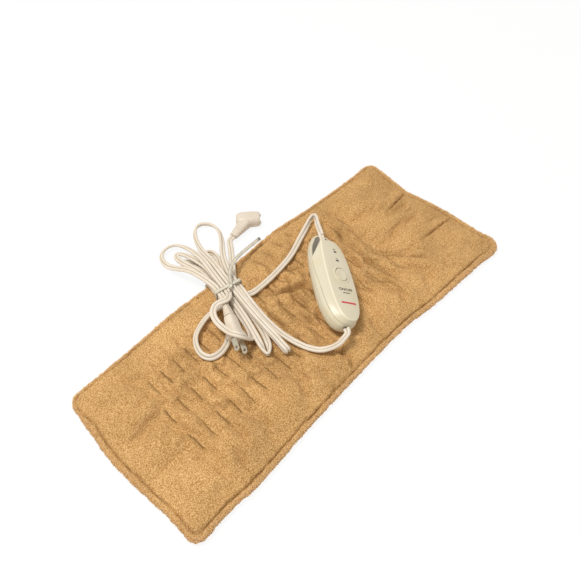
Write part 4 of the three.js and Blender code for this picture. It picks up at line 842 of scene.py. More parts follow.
def fold_samples(way, start, end, reach, bend, fall, low_top, low_under):
    """A fold that goes out on top and comes back underneath."""
    (across, z0), (_, z1) = slot_place(start), slot_place(end)
    radius = (low_top - low_under) / 2
    straight, tip = 36, 18

    def lying(distance, z, low):
        """A sample of a flat stretch, by its distance from the waist."""
        point, _ = lobe_axis(way, across, bend, reach, distance)
        point[2] = lerp(z, low, eased(distance, *fall))
        return point, 0, False

    run = [(reach - radius) * i / straight for i in range(straight)]
    samples = [lying(d, z0, low_top) for d in run]
    for i in range(tip + 1):
        angle = math.pi / 2 - i / tip * math.pi
        point, _ = lobe_axis(way, across, bend, reach, reach - radius + radius * math.cos(angle))
        point[2] = (low_top + low_under) / 2 + radius * math.sin(angle)
        samples.append((point, 0, True))
    return samples + [lying(d, z1, low_under) for d in reversed(run)]


def free_samples(places, steps):
    """A free stretch through given points: x, y, z and roll in degrees."""
    rolls = [p[3] for p in places]
    points = curve_points([p[:3] for p in places], steps)
    share = np.linspace(0, len(places) - 1, steps + 1)
    turns = np.radians(np.interp(share, range(len(places)), rolls))
    return [(p, r, False) for p, r in zip(points, turns)]


def through_slots(start, places, end, steps):
    """A free stretch from one slot of the waist to another."""
    first, last = waist_point(start, -WAIST_HALF), waist_point(end, -WAIST_HALF)
    return free_samples([[*first, 0], *places, [*last, 0]], steps)


def with_sides(samples):
    """Adds the direction of the cord's width to each sample, kept from flipping over."""
    points = np.array([s[0] for s in samples])
    kept = [0] + [i for i in range(1, len(points)) if np.linalg.norm(points[i] - points[i - 1]) > 0.05]
    points = points[kept]
    sides = []
    for n, k in enumerate(kept):
        ahead = unit(points[min(n + 1, len(points) - 1)] - points[max(n - 1, 0)])
        _, roll, carried = samples[k]
        if carried:
            side = sides[-1]
        else:
            side = unit(np.cross(UP, ahead)) * math.cos(roll) + UP * math.sin(roll)
        side = unit(side - ahead * side.dot(ahead))
        if sides and side.dot(sides[-1]) < 0:
            side = -side
        sides.append(side)
    return points, np.array(sides)


def evenly(points, sides, step):
    """Spaces samples evenly along the line."""
    travelled = np.concatenate([[0], np.cumsum(np.linalg.norm(np.diff(points, axis=0), axis=1))])
    count = int(round(travelled[-1] / step))
    at = np.linspace(0, travelled[-1], count + 1)
    points = np.stack([np.interp(at, travelled, row) for row in points.T], axis=1)
    sides = np.stack([np.interp(at, travelled, row) for row in sides.T], axis=1)
    return points, unit(sides), travelled[-1]


def sweep(section, points, sides):
    """Points and faces of a section swept along samples, with its closed ends."""
    ahead = unit(np.gradient(points, axis=0))
    wide = unit(sides - ahead * np.sum(sides * ahead, axis=1)[:, None])
    thick = np.cross(ahead, wide)
    section = np.asarray(section, float)
    rings = points[:, None] + section[None, :, :1] * wide[:, None] + section[None, :, 1:] * thick[:, None]
    return loft(list(rings))


def case_ring(inset, w, front=0.0, back=0.0, shift=0.0, count=RING_POINTS):
    """The controller's plan at a height, drawn in by inset, as a ring in the case's own frame."""
    angles = np.arange(count) / count * 2 * math.pi
    c, s = np.cos(angles), np.sin(angles)
    reach = CASE_LENGTH / 2 - inset - np.where(c > 0, front, -back)
    u = np.sign(c) * np.abs(c) ** (2 / CASE_POWER) * reach
    v = np.sign(s) * np.abs(s) ** (2 / CASE_POWER) * (CASE_WIDTH / 2 - inset)
    return np.stack([u, v * (1 - CASE_TAPER * u) + shift, np.full(count, w)], axis=1)


# The solid lower shell's profile, whose lowest corner sets how high the case lies
LOWER_OUTER = [(6, 0), (2.6, 1.2), (0.8, 4), (0, 8), (0.3, PARTING_HEIGHT)]


def case_height():
    """How high the case's own origin lies, so that its lowest edge just meets the pad."""
    rings = [case_ring(i, w, count=SOLID_RING_POINTS) for i, w in LOWER_OUTER]
    leaning = placed(np.concatenate(rings), CASE_HEADING, CASE_ROLL, (0, 0, 0))
    return PAD_CREST + SEAT_GAP - min(leaning[:, 2].min(), 0)


CASE_ORIGIN = (*CASE_PLACE, case_height())


def in_case(points):
    """From the case's own frame to the pad's."""
    return placed(points, CASE_HEADING, CASE_ROLL, CASE_ORIGIN)


def gland_line(way, distance):
    """Where a cord leaves the case, and a point some distance straight on."""
    face = CASE_LENGTH / 2 + GLAND_PROUD + SEAT_GAP
    height = PARTING_HEIGHT + SEAT_GAP / 2
    return in_case([[way * face, 0, height], [way * (face + distance), 0, height]])


def step_from(point, x, y, z, roll):
    """A given place, told from where the cord leaves the case."""
    return [point[0] + x, point[1] + y, point[2] + z, roll]


def mains_samples():
    """The mains lead from the controller, through every loop of the bundle, to the plug's neck."""
    roll = math.degrees(CASE_ROLL)
    leave, straight = gland_line(-1, CORD_WIDTH * 0.75)
    meet = waist_point("d1", -WAIST_HALF) - ALONG * SEAT_GAP
    aim = np.array([math.cos(PLUG_HEADING), math.sin(PLUG_HEADING), 0])
    entry = np.array(PLUG_FACE) - aim * (PLUG_LENGTH + PLUG_RELIEF_LENGTH + 2 * SEAT_GAP)
    run = free_samples([
        [*leave, roll], [*lerp(leave, straight, 0.4), roll], [*straight, roll],
        step_from(straight, -6.9, -0.2, -3.3, 22), step_from(straight, -13.3, 1, -7.3, 18),
        [-15.1, -57.4, 19.5, 12], [-22.5, -50, 16, 6], [-27.3, -40.5, 14.2, 2],
        [-30.6, -30, BED_HEIGHT + 0.4, 0], [-34, -10, BED_HEIGHT + 0.2, 0],
        [-33.8, 12, BED_HEIGHT + 0.4, 0], [-31.2, 34, 15, 0], [-28.2, 51, 17, 0],
        [*(meet - ALONG * CORD_WIDTH / 2), 0], [*meet, 0],
    ], 128)
    home = free_samples([
        [*waist_point("a2", -WAIST_HALF), 0], [*(entry - aim * CORD_WIDTH * 0.6), 0], [*entry, 0],
    ], 20)
    return [
        *run, *loop_samples(**LOOP_RIGHT), *fold_samples(**FOLD_LONG), *loop_samples(**LOOP_SHORT),
        *loop_samples(**LOOP_LEFT_FOLD), *loop_samples(**LOOP_INNER),
        *through_slots("a1", FAR_LEFT_POINTS, "a0", 128), *loop_samples(**LOOP_LOWEST),
        *through_slots("b0", OVER_PLUG_POINTS, "b2", 180), *loop_samples(**LOOP_LEFT), *home,
    ]


def in_connector(points):
    """From the connector's own frame to the pad's."""
    return placed(points, CONNECTOR_HEADING, 0, CONNECTOR_PLACE)


def neck_joint():
    """Where the neck meets the connector's side."""
    return in_connector([[CONNECTOR_ENTRY, -CONNECTOR_WIDTH / 2, 0]])[0]


def relief_aim():
    """The direction from the neck's free end to the connector."""
    aim = neck_joint() - np.array(RELIEF_END)
    aim[2] = 0
    return unit(aim)


def pad_lead_samples():
    """The pad lead from the controller, through the waist, to the angled connector's neck."""
    leave, straight = gland_line(1, CORD_WIDTH / 2)
    aim = relief_aim()
    entry = np.array(RELIEF_END) - aim * SEAT_GAP
    before = entry - aim * CORD_WIDTH
    climb = []
    for share, z in ((0.21, 9.4), (0.43, 11.6), (0.74, 13.6)):
        climb.append([*lerp(before, waist_point("d0", WAIST_HALF), share)[:2], z, 0])
    places = [
        [*entry, 0], [*before, 0], *climb,
        *[[*waist_point("d0", a), 0] for a in (WAIST_HALF, 0, -WAIST_HALF)],
        [-24, 59.5, 13.9, 20], [-18.5, 56.2, 13.6, 20], [-7, 55.5, BED_HEIGHT + 0.1, 0],
        [16, 56.5, BED_HEIGHT + 0.1, 0], [50.2, 61.8, BED_HEIGHT + 0.2, 0], [77.3, 71.3, 14.4, 15],
        step_from(straight, 8.4, 28.2, -14.3, 50), step_from(straight, 17.4, 31.2, -12.3, 75),
        step_from(straight, 21.7, 30.1, -9.8, 85), step_from(straight, 20, 24.7, -7.3, 80),
        step_from(straight, 13.3, 17.5, -4.8, 55), [*straight, 38],
        [*leave, math.degrees(CASE_ROLL)],
    ]
    return free_samples(places, 176)


SECTION_PLACES = (1, 0.96, 0.86, 0.7, 0.5, 0.28, 0.13, 0.05)
GROOVE_SHADE_WIDTH = 0.28
CORD_STEP = 2.0


def cord_section():
    """Two round leads side by side, moulded together with a fine groove between them, and how much painted shade each
    point of the section takes in the groove.
    """
    half = CORD_WIDTH / 2
    right = [share * half for share in SECTION_PLACES]
    row = right + [0] + [-x for x in reversed(right)]
    heights = []
    for across in row:
        lobe = math.sqrt(max(0, 1 - ((abs(across) - half / 2) / (half / 2)) ** 2)) * CORD_THICK / 2
        heights.append(max(lobe, CORD_GROOVE) if abs(across) < half / 2 else lobe)
    top = list(zip(row, heights))
    section = top + [(x, -z) for x, z in top[-2:0:-1]]
    return section, [bell(x, GROOVE_SHADE_WIDTH) for x, _ in section]


def make_cord(name, samples, replaced, from_end=False):
    """A flat twin-lead cord along samples. Gives the piece, its centreline and its length."""
    points, sides = with_sides(samples)
    if from_end:
        points, sides = points[::-1], sides[::-1]
    points, sides, length = evenly(points, sides, CORD_STEP)
    section, groove = cord_section()
    shape = sweep(section, points, sides)
    # The groove attribute paints shade into the groove between the leads
    shade = np.zeros(len(shape[0]))
    shade[:len(points) * len(groove)] = np.tile(groove, len(points))
    piece = mesh_piece(name, shape, vinyl_material(), "cord_vinyl", replaced, shade_angle=60,
                       attributes={"groove": shade})
    return piece, points * MM, length * MM


class CORDS_OT_make(bpy.types.Operator):
    """Makes the mains lead with its bundle and the pad lead"""

    bl_idname = "heating_pad.cords"
    bl_label = "Cords"

    def execute(self, context):
        """Both cords follow the routes of their solids, and end in the plug and the connector."""
        mains, path, length = make_cord(
            "mains_lead", mains_samples(), ["cord_mains_run", "cord_mains_hank"])
        plug = ["plug_body_moulding", "plug_neck", "plug_blade_1", "plug_blade_2", "paper_tie"]
        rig.cord(mains, exit=path[0], length=length, diameter=CORD_WIDTH * MM, far_end="plug",
                stiffness="medium", lay="coiled", path=path, with_pieces=[bpy.data.objects[n] for n in plug])
        lead, path, length = make_cord("pad_lead", pad_lead_samples(), ["cord_pad_lead"], from_end=True)
        ends = ["connector_body", "connector_neck", "connector_contact_1", "connector_contact_2"]
        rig.cord(lead, exit=path[0], length=length, diameter=CORD_WIDTH * MM, far_end="connector",
                stiffness="medium", lay="loose", path=path, with_pieces=[bpy.data.objects[n] for n in ends])
        return {"FINISHED"}


# Plug, connector and tie


RIB_STEPS = 10
RIB_DEPTH = 1.2
NECK_POINTS = 48
MOULDING_POINTS = 72
PLUG_RIBS = 4
CONNECTOR_RIBS = 7
NOSE_WALL = 0.4

# Shares of the plug's length from its face, of its width and of its thickness
PLUG_STATIONS = [
    (0, 0.86, 0.84), (0.012, 0.92, 0.91), (0.04, 0.985, 0.98), (0.1, 1, 1), (0.16, 0.985, 0.98),
    (0.2, 0.93, 0.93), (0.29, 0.77, 0.81), (0.42, 0.7, 0.77), (0.6, 0.68, 0.76), (0.85, 0.64, 0.74),
    (0.96, 0.6, 0.7), (1, 0.54, 0.63),
]

# Shares of the connector's length from its middle, and of its width and thickness there
CONNECTOR_STATIONS = [
    (-0.5, 0.42), (-0.485, 0.6), (-0.45, 0.76), (-0.4, 0.87), (-0.33, 0.95), (-0.18, 1.0), (0.15, 1.0),
    (0.3, 0.98), (0.4, 0.94), (0.46, 0.88), (0.49, 0.81), (0.5, 0.74),
]

# The tie's section, from edge to edge: thin paper, with the wire in its middle
TIE_TOP = [(-TIE_WIDTH / 2, 0.22), (-0.7, 0.26), (0, 0.5), (0.7, 0.26), (TIE_WIDTH / 2, 0.22)]
TIE_SECTION = [(x, -z) for x, z in TIE_TOP] + TIE_TOP[::-1]
TIE_CORNER = 2.0
UNWORN = 2.0


def ribbed_neck(length, wide, slim, ribs):
    """A flexible neck that runs along -X, with rounded ribs and slots between them."""
    rings = []
    steps = ribs * RIB_STEPS
    for i in range(steps + 1):
        share = i / steps
        phase = (share * ribs) % 1 if i < steps else 0.0
        slot = eased(phase, 0.5, 0.64) * eased(phase, 0.97, 0.87)
        size = [lerp(a, b, share) - RIB_DEPTH * slot for a, b in zip(wide, slim)]
        rings.append(cross_ring(-length * share, *size, NECK_POINTS, 3))
    return loft(rings)


def in_plug(points):
    """From the plug's own frame to the pad's."""
    return placed(points, PLUG_HEADING, PLUG_ROLL, PLUG_FACE)


class PLUG_OT_make(bpy.types.Operator):
    """Makes the wall plug's moulding and its ribbed neck"""

    bl_idname = "heating_pad.plug"
    bl_label = "Plug"

    def execute(self, context):
        """A wide grip flange at the blades, a waist, and a body that narrows to the neck."""
        vinyl = vinyl_material()
        stations = [(-s * PLUG_LENGTH, PLUG_WIDTH * w, PLUG_THICK * t) for s, w, t in PLUG_STATIONS]
        body = loft([cross_ring(x, w, t, MOULDING_POINTS, 3.4) for x, w, t in curve_points(stations, 44)])
        mesh_piece("plug_body_moulding", moved(body, in_plug), vinyl, "cord_vinyl", ["plug_body"])
        points, faces = ribbed_neck(PLUG_RELIEF_LENGTH, NECK_WIDE, NECK_SLIM, PLUG_RIBS)
        points = in_plug(points - [PLUG_LENGTH + SEAT_GAP, 0, 0])
        mesh_piece("plug_neck", (points, faces), vinyl, "cord_vinyl", ["plug_strain_relief"])
        return {"FINISHED"}


class CONNECTOR_OT_make(bpy.types.Operator):
    """Makes the angled connector's moulding and its ribbed neck"""

    bl_idname = "heating_pad.connector"
    bl_label = "Connector"

    def execute(self, context):
        """A soft-edged block with two hollow noses, and a long ribbed neck that meets its side."""
        vinyl = vinyl_material("moulded_pvc_grey", settings().cords.moulding)
        length, width, thick = CONNECTOR_LENGTH, CONNECTOR_WIDTH, CONNECTOR_THICK
        stations = curve_points([(x * length, width * k, thick * k) for x, k in CONNECTOR_STATIONS], 48)
        block = loft([cross_ring(x, w, t, MOULDING_POINTS, 2.5) for x, w, t in stations])
        body = joined(block, self.nose(-PIN_SPACING / 2), self.nose(PIN_SPACING / 2))
        mesh_piece("connector_body", moved(body, in_connector), vinyl, "cord_vinyl", ["connector_head"])
        joint, aim = neck_joint(), relief_aim()
        span = np.linalg.norm(joint - np.array(RELIEF_END))
        points, faces = ribbed_neck(span + NECK_DEEP, NECK_ROOT, NECK_SLIM, CONNECTOR_RIBS)
        points = placed(points, math.atan2(aim[1], aim[0]), 0, joint + aim * NECK_DEEP)
        mesh_piece("connector_neck", (points, faces), vinyl, "cord_vinyl", ["connector_strain_relief"])
        return {"FINISHED"}

    def nose(self, y):
        """A hollow nose round one contact."""
        outer, inner, tip = NOSE_DIAMETER / 2, NOSE_DIAMETER / 2 - NOSE_WALL, CONNECTOR_NOSE
        points, faces = lathe([(outer, -1), (outer, tip - 0.2), (outer - 0.15, tip), (inner + 0.1, tip),
                               (inner, tip - 0.2), (inner, 0.1)], 32)
        turn = np.array(Matrix.Rotation(math.pi / 2, 3, "Y"))
        return points @ turn.T + [CONNECTOR_LENGTH / 2, y, 0], faces


class TIE_OT_make(bpy.types.Operator):
    """Makes the twist tie round the bundle, with its two tails"""

    bl_idname = "heating_pad.tie"
    bl_label = "Twist tie"

    def execute(self, context):
        """A paper ribbon with a wire in its middle, drawn tight round the cords and twisted."""
        edge = [abs(x) / (TIE_WIDTH / 2) > 0.9 for x, _ in TIE_SECTION]
        shapes = []
        shades = []
        for points, sides, dark in (self.band(), self.tail(TIE_TAIL, 0.93), self.tail(TIE_STUB, UNWORN)):
            shape = sweep(TIE_SECTION, points, sides)
            shapes.append(shape)
            shade = np.zeros(len(shape[0]))
            along = np.repeat(np.linspace(0, 1, len(points)), len(edge))
            tip = eased(along, dark, dark + 0.08)
            shade[:len(along)] = np.maximum(np.tile(edge, len(points)) * 0.45, tip)
            shades.append(shade)
        mesh_piece("paper_tie", joined(*shapes), tie_material(), "tie_paper", ["twist_tie"],
                   attributes={"edge": np.concatenate(shades)})
        return {"FINISHED"}

    def band(self):
        """The ring round the waist."""
        half = 1.5 * COLUMN_PITCH + CORD_WIDTH / 2 + SLIDE_GAP + TIE_THICK / 2
        low = LAYER_BASE - CORD_THICK / 2 - SEAT_GAP - TIE_THICK / 2
        high = LAYER_BASE + 2 * LAYER_PITCH + CORD_THICK / 2 + SLIDE_GAP + TIE_THICK / 2
        corner = TIE_CORNER
        ring = []
        for x, z, start in ((half, high, 0), (-half, high, 90), (-half, low, 180), (half, low, 270)):
            middle = np.array([x - math.copysign(corner, x), z + (corner if z == low else -corner)])
            for step in range(7):
                angle = math.radians(start + 15 * step)
                ring.append(middle + corner * np.array([math.cos(angle), math.sin(angle)]))
        ring.append(ring[0])
        points = np.array([WAIST + ACROSS * x + UP * z for x, z in ring])
        return points, np.tile(ALONG, (len(points), 1)), UNWORN

    def tail(self, places, dark):
        """A loose tail, and the share of its length past which its paper is worn away."""
        samples = [(p, 0.5, False) for p in curve_points(places, 40)]
        return (*with_sides(samples), dark)


# Controller

WALL_START = 8
BAND_WIDTH = 4
BAND_DEPTH = 0.8
LEFT_REACH = 9.8
SHUT_LINE = 0.6
PARTING_RISE = 2.6
LETTERING_PLACE = BUTTON_PLACE - 21
LETTERING_SIZE = 4.8
RED_BAR_PLACE = BUTTON_PLACE - 39
PRINT = {"extrude": 0.05, "offset": 0.12, "resolution_u": 2, "align_x": "CENTER", "align_y": "CENTER"}
PRINT_THICK = 0.1
TICK_SIZE = (0.5, 3)
TICK_STEP = 0.9
WINDOW_DEEP = 8
TURNED_SIDES = 96
BOX_POINTS = 40
LOWER_STEPS = 44
UPPER_STEPS = 72
CEILING_STEPS = 46
INNER_STEP = 4
LOWER_LIP = (0.995, 0.986, 1)
UPPER_LIP = (0.994, 0.984, 1)

# The lower shell's profile: how far it is drawn in, and its height
LOWER_PROFILE = [
    (9, 0.0), (6, 0.05), (4, 0.5), (2.6, 1.2), (1.5, 2.4), (0.8, 4), (0.2, 6), (0, WALL_START),
    (0.02, PARTING_HEIGHT - 2), (0.06, PARTING_HEIGHT - 0.5), (0.4, PARTING_HEIGHT),
]

# The upper shell's profile: how far it is drawn in, its height, and its share of the plateau's shift
UPPER_OUTER = [
    (0.3, UPPER_FOOT, 0), (0.75, UPPER_FOOT + 1, 0.06), (2, UPPER_FOOT + 3.1, 0.19),
    (3.3, UPPER_FOOT + 4.8, 0.37), (4.6, UPPER_FOOT + 6.5, 0.56),
    (6.3, RIDGE_HEIGHT - 0.72, 0.88), (6.75, RIDGE_HEIGHT - 0.25, 0.97),
    (RIDGE_INSET, RIDGE_HEIGHT, 1), (RIDGE_INSET + 0.5, RIDGE_HEIGHT + 0.3, 1),
    (RIDGE_INSET + 1.2, RIDGE_HEIGHT + 0.6, 1), (RIDGE_INSET + 4, CASE_HEIGHT - 0.42, 1),
    (RIDGE_INSET + 9, CASE_HEIGHT, 1), (RIDGE_INSET + 12, CASE_HEIGHT + 0.05, 1),
]


def slanted_cut():
    """The slanted end's outward direction in plan, and its distance from the case's middle."""
    along = unit(np.subtract(CHAMFER_END, CHAMFER_START))
    outward = np.array([along[1], -along[0]])
    return outward, outward @ np.array(CHAMFER_START)


def behind_chamfer(ring, inset=0.0):
    """A ring cut straight by the upper shell's slanted end: what lies beyond is drawn back to the cut."""
    outward, limit = slanted_cut()
    limit -= inset
    beyond = ring[:, :2] @ outward > limit
    cut = ring.copy()
    cut[beyond, 0] = (limit - outward[1] * ring[beyond, 1]) / outward[0]
    return cut


def upper_plan(inset, w, share):
    """The upper shell's plan before its end is cut: fuller at the side where the slanted end will be."""
    back, shift = PLATEAU_BACK * share, PLATEAU_SHIFT * share
    ring = case_ring(inset, w, FRONT_STEP, back, shift)
    half = RING_POINTS // 2
    ring[:half] = case_ring(inset, w, -LEFT_REACH, back, shift)[:half]
    return ring


def upper_ring(inset, w, share):
    """A ring of the upper shell, whose plateau is moved and stretched by a share of its full shift."""
    ring = behind_chamfer(upper_plan(inset, w, share))
    ring[:, 0] = np.minimum(ring[:, 0], CASE_LENGTH / 2 - FRONT_STEP - inset)
    return ring


def parting_rise(ring):
    """How far above its lowest the parting line runs, over the points of a ring."""
    return PARTING_RISE * eased(ring[:, 0], 20, -25)


def at_heights(rings, heights):
    """The points of a stack of rings at other heights, one height for each point of each new ring."""
    stack, wanted = np.array(rings), np.array(heights)
    result = np.dstack([wanted, wanted, wanted])
    for i in range(stack.shape[1]):
        for axis in (0, 1):
            result[:, i, axis] = np.interp(wanted[:, i], stack[:, i, 2], stack[:, i, axis])
    return list(result)


def rounded_box(length, width, height, x, y, z, power=3.2):
    """A box with soft sides, as a closed shape standing on z."""
    rings = []
    for level in (z, z + height):
        ring = cross_ring(level, length, width, BOX_POINTS, power)
        rings.append(np.stack([ring[:, 1] + x, ring[:, 2] + y, ring[:, 0]], axis=1))
    return loft(rings)


def on_surface(points):
    """Lays flat print on the panel: its height is added to the panel's own at that distance across."""
    points = np.array(points, float)
    inset = CASE_WIDTH / 2 - np.abs(points[:, 1] - PLATEAU_SHIFT)
    stations = np.array(UPPER_OUTER)[7:]
    points[:, 2] += np.interp(inset, stations[:, 0], stations[:, 1]) + 0.04
    return points


def lettering(words, size):
    """Points and faces of plain lettering of a size in millimetres, with its middle at the origin."""
    curve = bpy.data.curves.new("lettering", "FONT")
    for name, value in PRINT.items():
        setattr(curve, name, value)
    curve.body = words
    curve.size = size
    holder = new_object("lettering", curve)
    work = bmesh.new()
    work.from_mesh(plain_mesh(holder))
    bmesh.ops.remove_doubles(work, verts=work.verts, dist=0.0005)
    points = np.array([v.co for v in work.verts])
    work.verts.index_update()
    faces = [tuple(v.index for v in f.verts) for f in work.faces]
    work.free()
    bpy.data.objects.remove(holder)
    return points, faces


class CONTROLLER_OT_make(bpy.types.Operator):
    """Makes the controller's case, button, windows and marks"""

    bl_idname = "heating_pad.controller"
    bl_label = "Controller"

    def execute(self, context):
        """Two moulded shells with a parting line, a dished button in a raised ring, and two windows."""
        look = settings().controller
        case = case_material()
        # A grey material as painted shade for the slanted end's wall and step
        band = moulded_material("moulded_abs_band", look.band, roughness=0.5)
        self.lower(case, band)
        self.upper(case, band)
        self.bezel(case)
        self.button(case)
        self.windows(window_material())
        ink = moulded_material("printed_ink", look.ink, roughness=0.5, speck=0.02)
        self.marks(ink, moulded_material("printed_red_ink", look.red, roughness=0.5, speck=0.02))
        # A dark sleeve as painted shade in the hole where the mains lead leaves the case
        self.bushings(moulded_material("dark_rubber_bush", linear("8C8474"), roughness=0.7))
        return {"FINISHED"}

    def lower(self, case, band):
        """The lower shell: a skin with a wall, and a closed deck beyond the slanted end."""
        profile = curve_points(LOWER_PROFILE, LOWER_STEPS)
        outer = [case_ring(i, w) for i, w in profile]
        rise = parting_rise(outer[-1])
        # The wall follows the upper shell's own slope where the parting line runs higher
        wall = PARTING_HEIGHT - WALL_START
        above = [upper_plan(*station) for station in UPPER_OUTER[1:4]]
        stack = [ring for ring in outer if ring[0, 2] < PARTING_HEIGHT - 0.4] + above
        high = [(k, ring) for k, ring in enumerate(outer) if ring[0, 2] > WALL_START]
        share = [(ring[0, 2] - WALL_START) / wall for _, ring in high]
        raised = at_heights(stack, [WALL_START + part * (wall + rise) for part in share])
        for (k, ring), lifted in zip(high, raised):
            drawn_in = lerp(ring[:, :2], lifted[:, :2], eased(rise[:, None], 0, 0.4))
            outer[k] = np.column_stack([drawn_in, lifted[:, 2]])
        outer[-1] = outer[-1] * LOWER_LIP
        inner = [behind_chamfer(case_ring(i + CASE_WALL, max(w, CASE_WALL)), 2 * CASE_WALL)
                 for i, w in profile[::-INNER_STEP]]
        deck = CASE_LENGTH / 2 - FRONT_STEP - 2 * CASE_WALL
        for ring in inner:
            ring[:, 0] = np.minimum(ring[:, 0], deck)
        # The band's floor, a step below the parting line, which takes the grey painted shade
        ledge = behind_chamfer(case_ring(CASE_WALL + 0.4, PARTING_HEIGHT), -BAND_WIDTH)
        ledge[:, 2] += np.maximum(rise - 0.1, 0)
        sunk = ledge - [0, 0, BAND_DEPTH]
        inner[0][:, 2] = np.minimum(inner[0][:, 2], sunk[:, 2].min())
        skin = loft(outer + [ledge, sunk] + inner)
        shell = mesh_piece("controller_case_lower", moved(skin, in_case), case, "ivory_case",
                           ["controller_shell_lower"])
        shell.data.materials.append(band)
        # The faces out to the band's floor and down its step take the grey painted shade
        for face in shell.data.polygons[len(outer) * RING_POINTS:(len(outer) + 2) * RING_POINTS]:
            face.material_index = 1

    def upper(self, case, band):
        """The upper shell, with its button hole, its windows and grey painted shade on the wall of its slanted end."""
        profile = curve_points(UPPER_OUTER, UPPER_STEPS)
        outer = [upper_ring(*station) for station in profile[::-1]]
        rise = parting_rise(outer[-1]) + SHUT_LINE
        shoulder = RIDGE_HEIGHT - 1
        low = [k for k, ring in enumerate(outer) if ring[0, 2] < shoulder]
        share = [(shoulder - outer[k][0, 2]) / (shoulder - UPPER_FOOT) for k in low]
        lifted = at_heights(outer[::-1], [outer[k][:, 2] + part * rise for k, part in zip(low, share)])
        for k, ring in zip(low, lifted):
            outer[k] = ring
        foot = outer[-1] * UPPER_LIP
        inner = [behind_chamfer(upper_ring(i + CASE_WALL, min(w, CEILING), k), CASE_WALL)
                 for i, w, k in profile[:CEILING_STEPS:INNER_STEP]]
        skin = loft(outer + [foot] + inner)
        # A painted highlight along the ridge, carried by the edge attribute
        ridge_highlight = bell(profile[::-1, 0] - RIDGE_INSET - 0.1, 0.5)
        edge = np.zeros(len(skin[0]))
        edge[:len(ridge_highlight) * RING_POINTS] = np.repeat(ridge_highlight, RING_POINTS)
        radius = BUTTON_DIAMETER / 2 + SLIDE_GAP
        hole = lathe([(radius, h) for h in (CEILING - 3, CASE_HEIGHT + 3)], TURNED_SIDES)
        size = [LIGHT_WIDTH + 2 * SEAT_GAP, LIGHT_LENGTH + 2 * SEAT_GAP, 9]
        slits = [rounded_box(*size, u, PANEL_SHIFT, CEILING - 3) for u in LIGHT_PLACES]
        holes = [moved(hole, self.on_panel), *[moved(slit, in_case) for slit in slits]]
        shell = mesh_piece(
            "controller_case_upper", moved(skin, in_case), case, "ivory_case", ["controller_shell_upper"],
            shade_angle=30, attributes={"edge": edge}, holes=holes)
        shell.data.materials.append(band)
        turn = turned(CASE_HEADING, CASE_ROLL)
        outward, limit = slanted_cut()
        # The faces of the slanted end's wall take the grey painted shade
        for face in shell.data.polygons:
            u, v, w = (np.array(face.center) / MM - CASE_ORIGIN) @ turn
            if limit - outward @ np.array([u, v]) < 0.1 and w < RIDGE_HEIGHT - 0.3:
                face.material_index = 1

    def on_panel(self, points):
        """Stretches a turned shape along the case and sets it in the middle of the panel."""
        return in_case(np.asarray(points) * [BUTTON_STRETCH, 1, 1] + [BUTTON_PLACE, PANEL_SHIFT, 0])

    def bezel(self, case):
        """The raised oval ring round the button."""
        inside = BUTTON_DIAMETER / 2 + SLIDE_GAP
        top = CASE_HEIGHT + BUTTON_RISE
        foot = CASE_HEIGHT - 1.4
        ring = [
            (inside + 0.02, foot), (inside + 0.02, top - 0.35), (inside + 0.3, top - 0.06),
            (inside + 0.9, top), (inside + 1.8, top - 0.1), (inside + 2.4, top - 0.42),
            (inside + 2.8, CASE_HEIGHT - 0.4), (inside + 2.8, foot), (inside + 0.02, foot),
        ]
        points, faces = lathe(ring, TURNED_SIDES)
        skin = len(ring) * TURNED_SIDES
        open_skin = points[:skin], [face for face in faces if max(face) < skin]
        mesh_piece("controller_bezel", moved(open_skin, self.on_panel), case, "ivory_case")

    def button(self, case):
        """The push button: a dished cap with a soft edge, a flange under the case, and a stem."""
        radius = BUTTON_DIAMETER / 2
        top = CASE_HEIGHT + BUTTON_RISE
        flange = CEILING - SEAT_GAP
        profile = [
            (0.01, STEM_FOOT), (2, STEM_FOOT), (2, flange - 1), (radius + BUTTON_FLANGE, flange - 1),
            (radius + BUTTON_FLANGE, flange), (radius, flange), (radius, top - 0.9),
            (radius - 0.08, top - 0.5), (radius - 0.35, top - 0.18), (radius - 0.8, top - 0.03),
            (radius - 1.3, top), (radius - 2.2, top - 0.06), (radius - 4, top - 0.34),
            (radius - 5.6, top - 0.58), (0.01, top - 0.7),
        ]
        cap = lathe(profile, TURNED_SIDES)
        mesh_piece("controller_push_button", moved(cap, self.on_panel), case, "ivory_case",
                   ["controller_button"], body=BUTTON)

    def windows(self, smoked):
        """The light windows: soft-cornered bars of smoked acrylic, flush with the case."""
        for i, u in enumerate(LIGHT_PLACES, 1):
            foot = CASE_HEIGHT - WINDOW_DEEP - 0.1
            bar = rounded_box(LIGHT_WIDTH, LIGHT_LENGTH, WINDOW_DEEP, u, PANEL_SHIFT, foot)
            mesh_piece(f"controller_light_window_{i}", moved(bar, in_case), smoked, "smoked_window",
                       [f"controller_window_{i}"])

    def marks(self, ink, red):
        """Plain print: bars over the windows, lettering under the button and a plain red bar."""
        shapes = []
        for number, u in enumerate(LIGHT_PLACES[::-1], 1):
            for stroke in range(number):
                place = u + 3 + TICK_STEP * stroke
                shapes.append(rounded_box(*TICK_SIZE, PRINT_THICK, place, PANEL_SHIFT + 0.6, 0))
        points, faces = lettering("ON/OFF", LETTERING_SIZE)
        printed = [LETTERING_PLACE + points[:, 1], PANEL_SHIFT - points[:, 0], points[:, 2]]
        shapes.append((np.stack(printed, axis=1), faces))
        shapes.append(rounded_box(1, 9, PRINT_THICK, LETTERING_PLACE - 4.6, PANEL_SHIFT, 0, 12))
        bar = rounded_box(2.3, 18, PRINT_THICK, RED_BAR_PLACE, PANEL_SHIFT + 0.8, 0, 12)
        for name, shape, material in (
                ("controller_marks", joined(*shapes), ink), ("controller_red_bar", bar, red)):
            mesh_piece(name, moved(moved(shape, on_surface), in_case), material, "smoked_window")

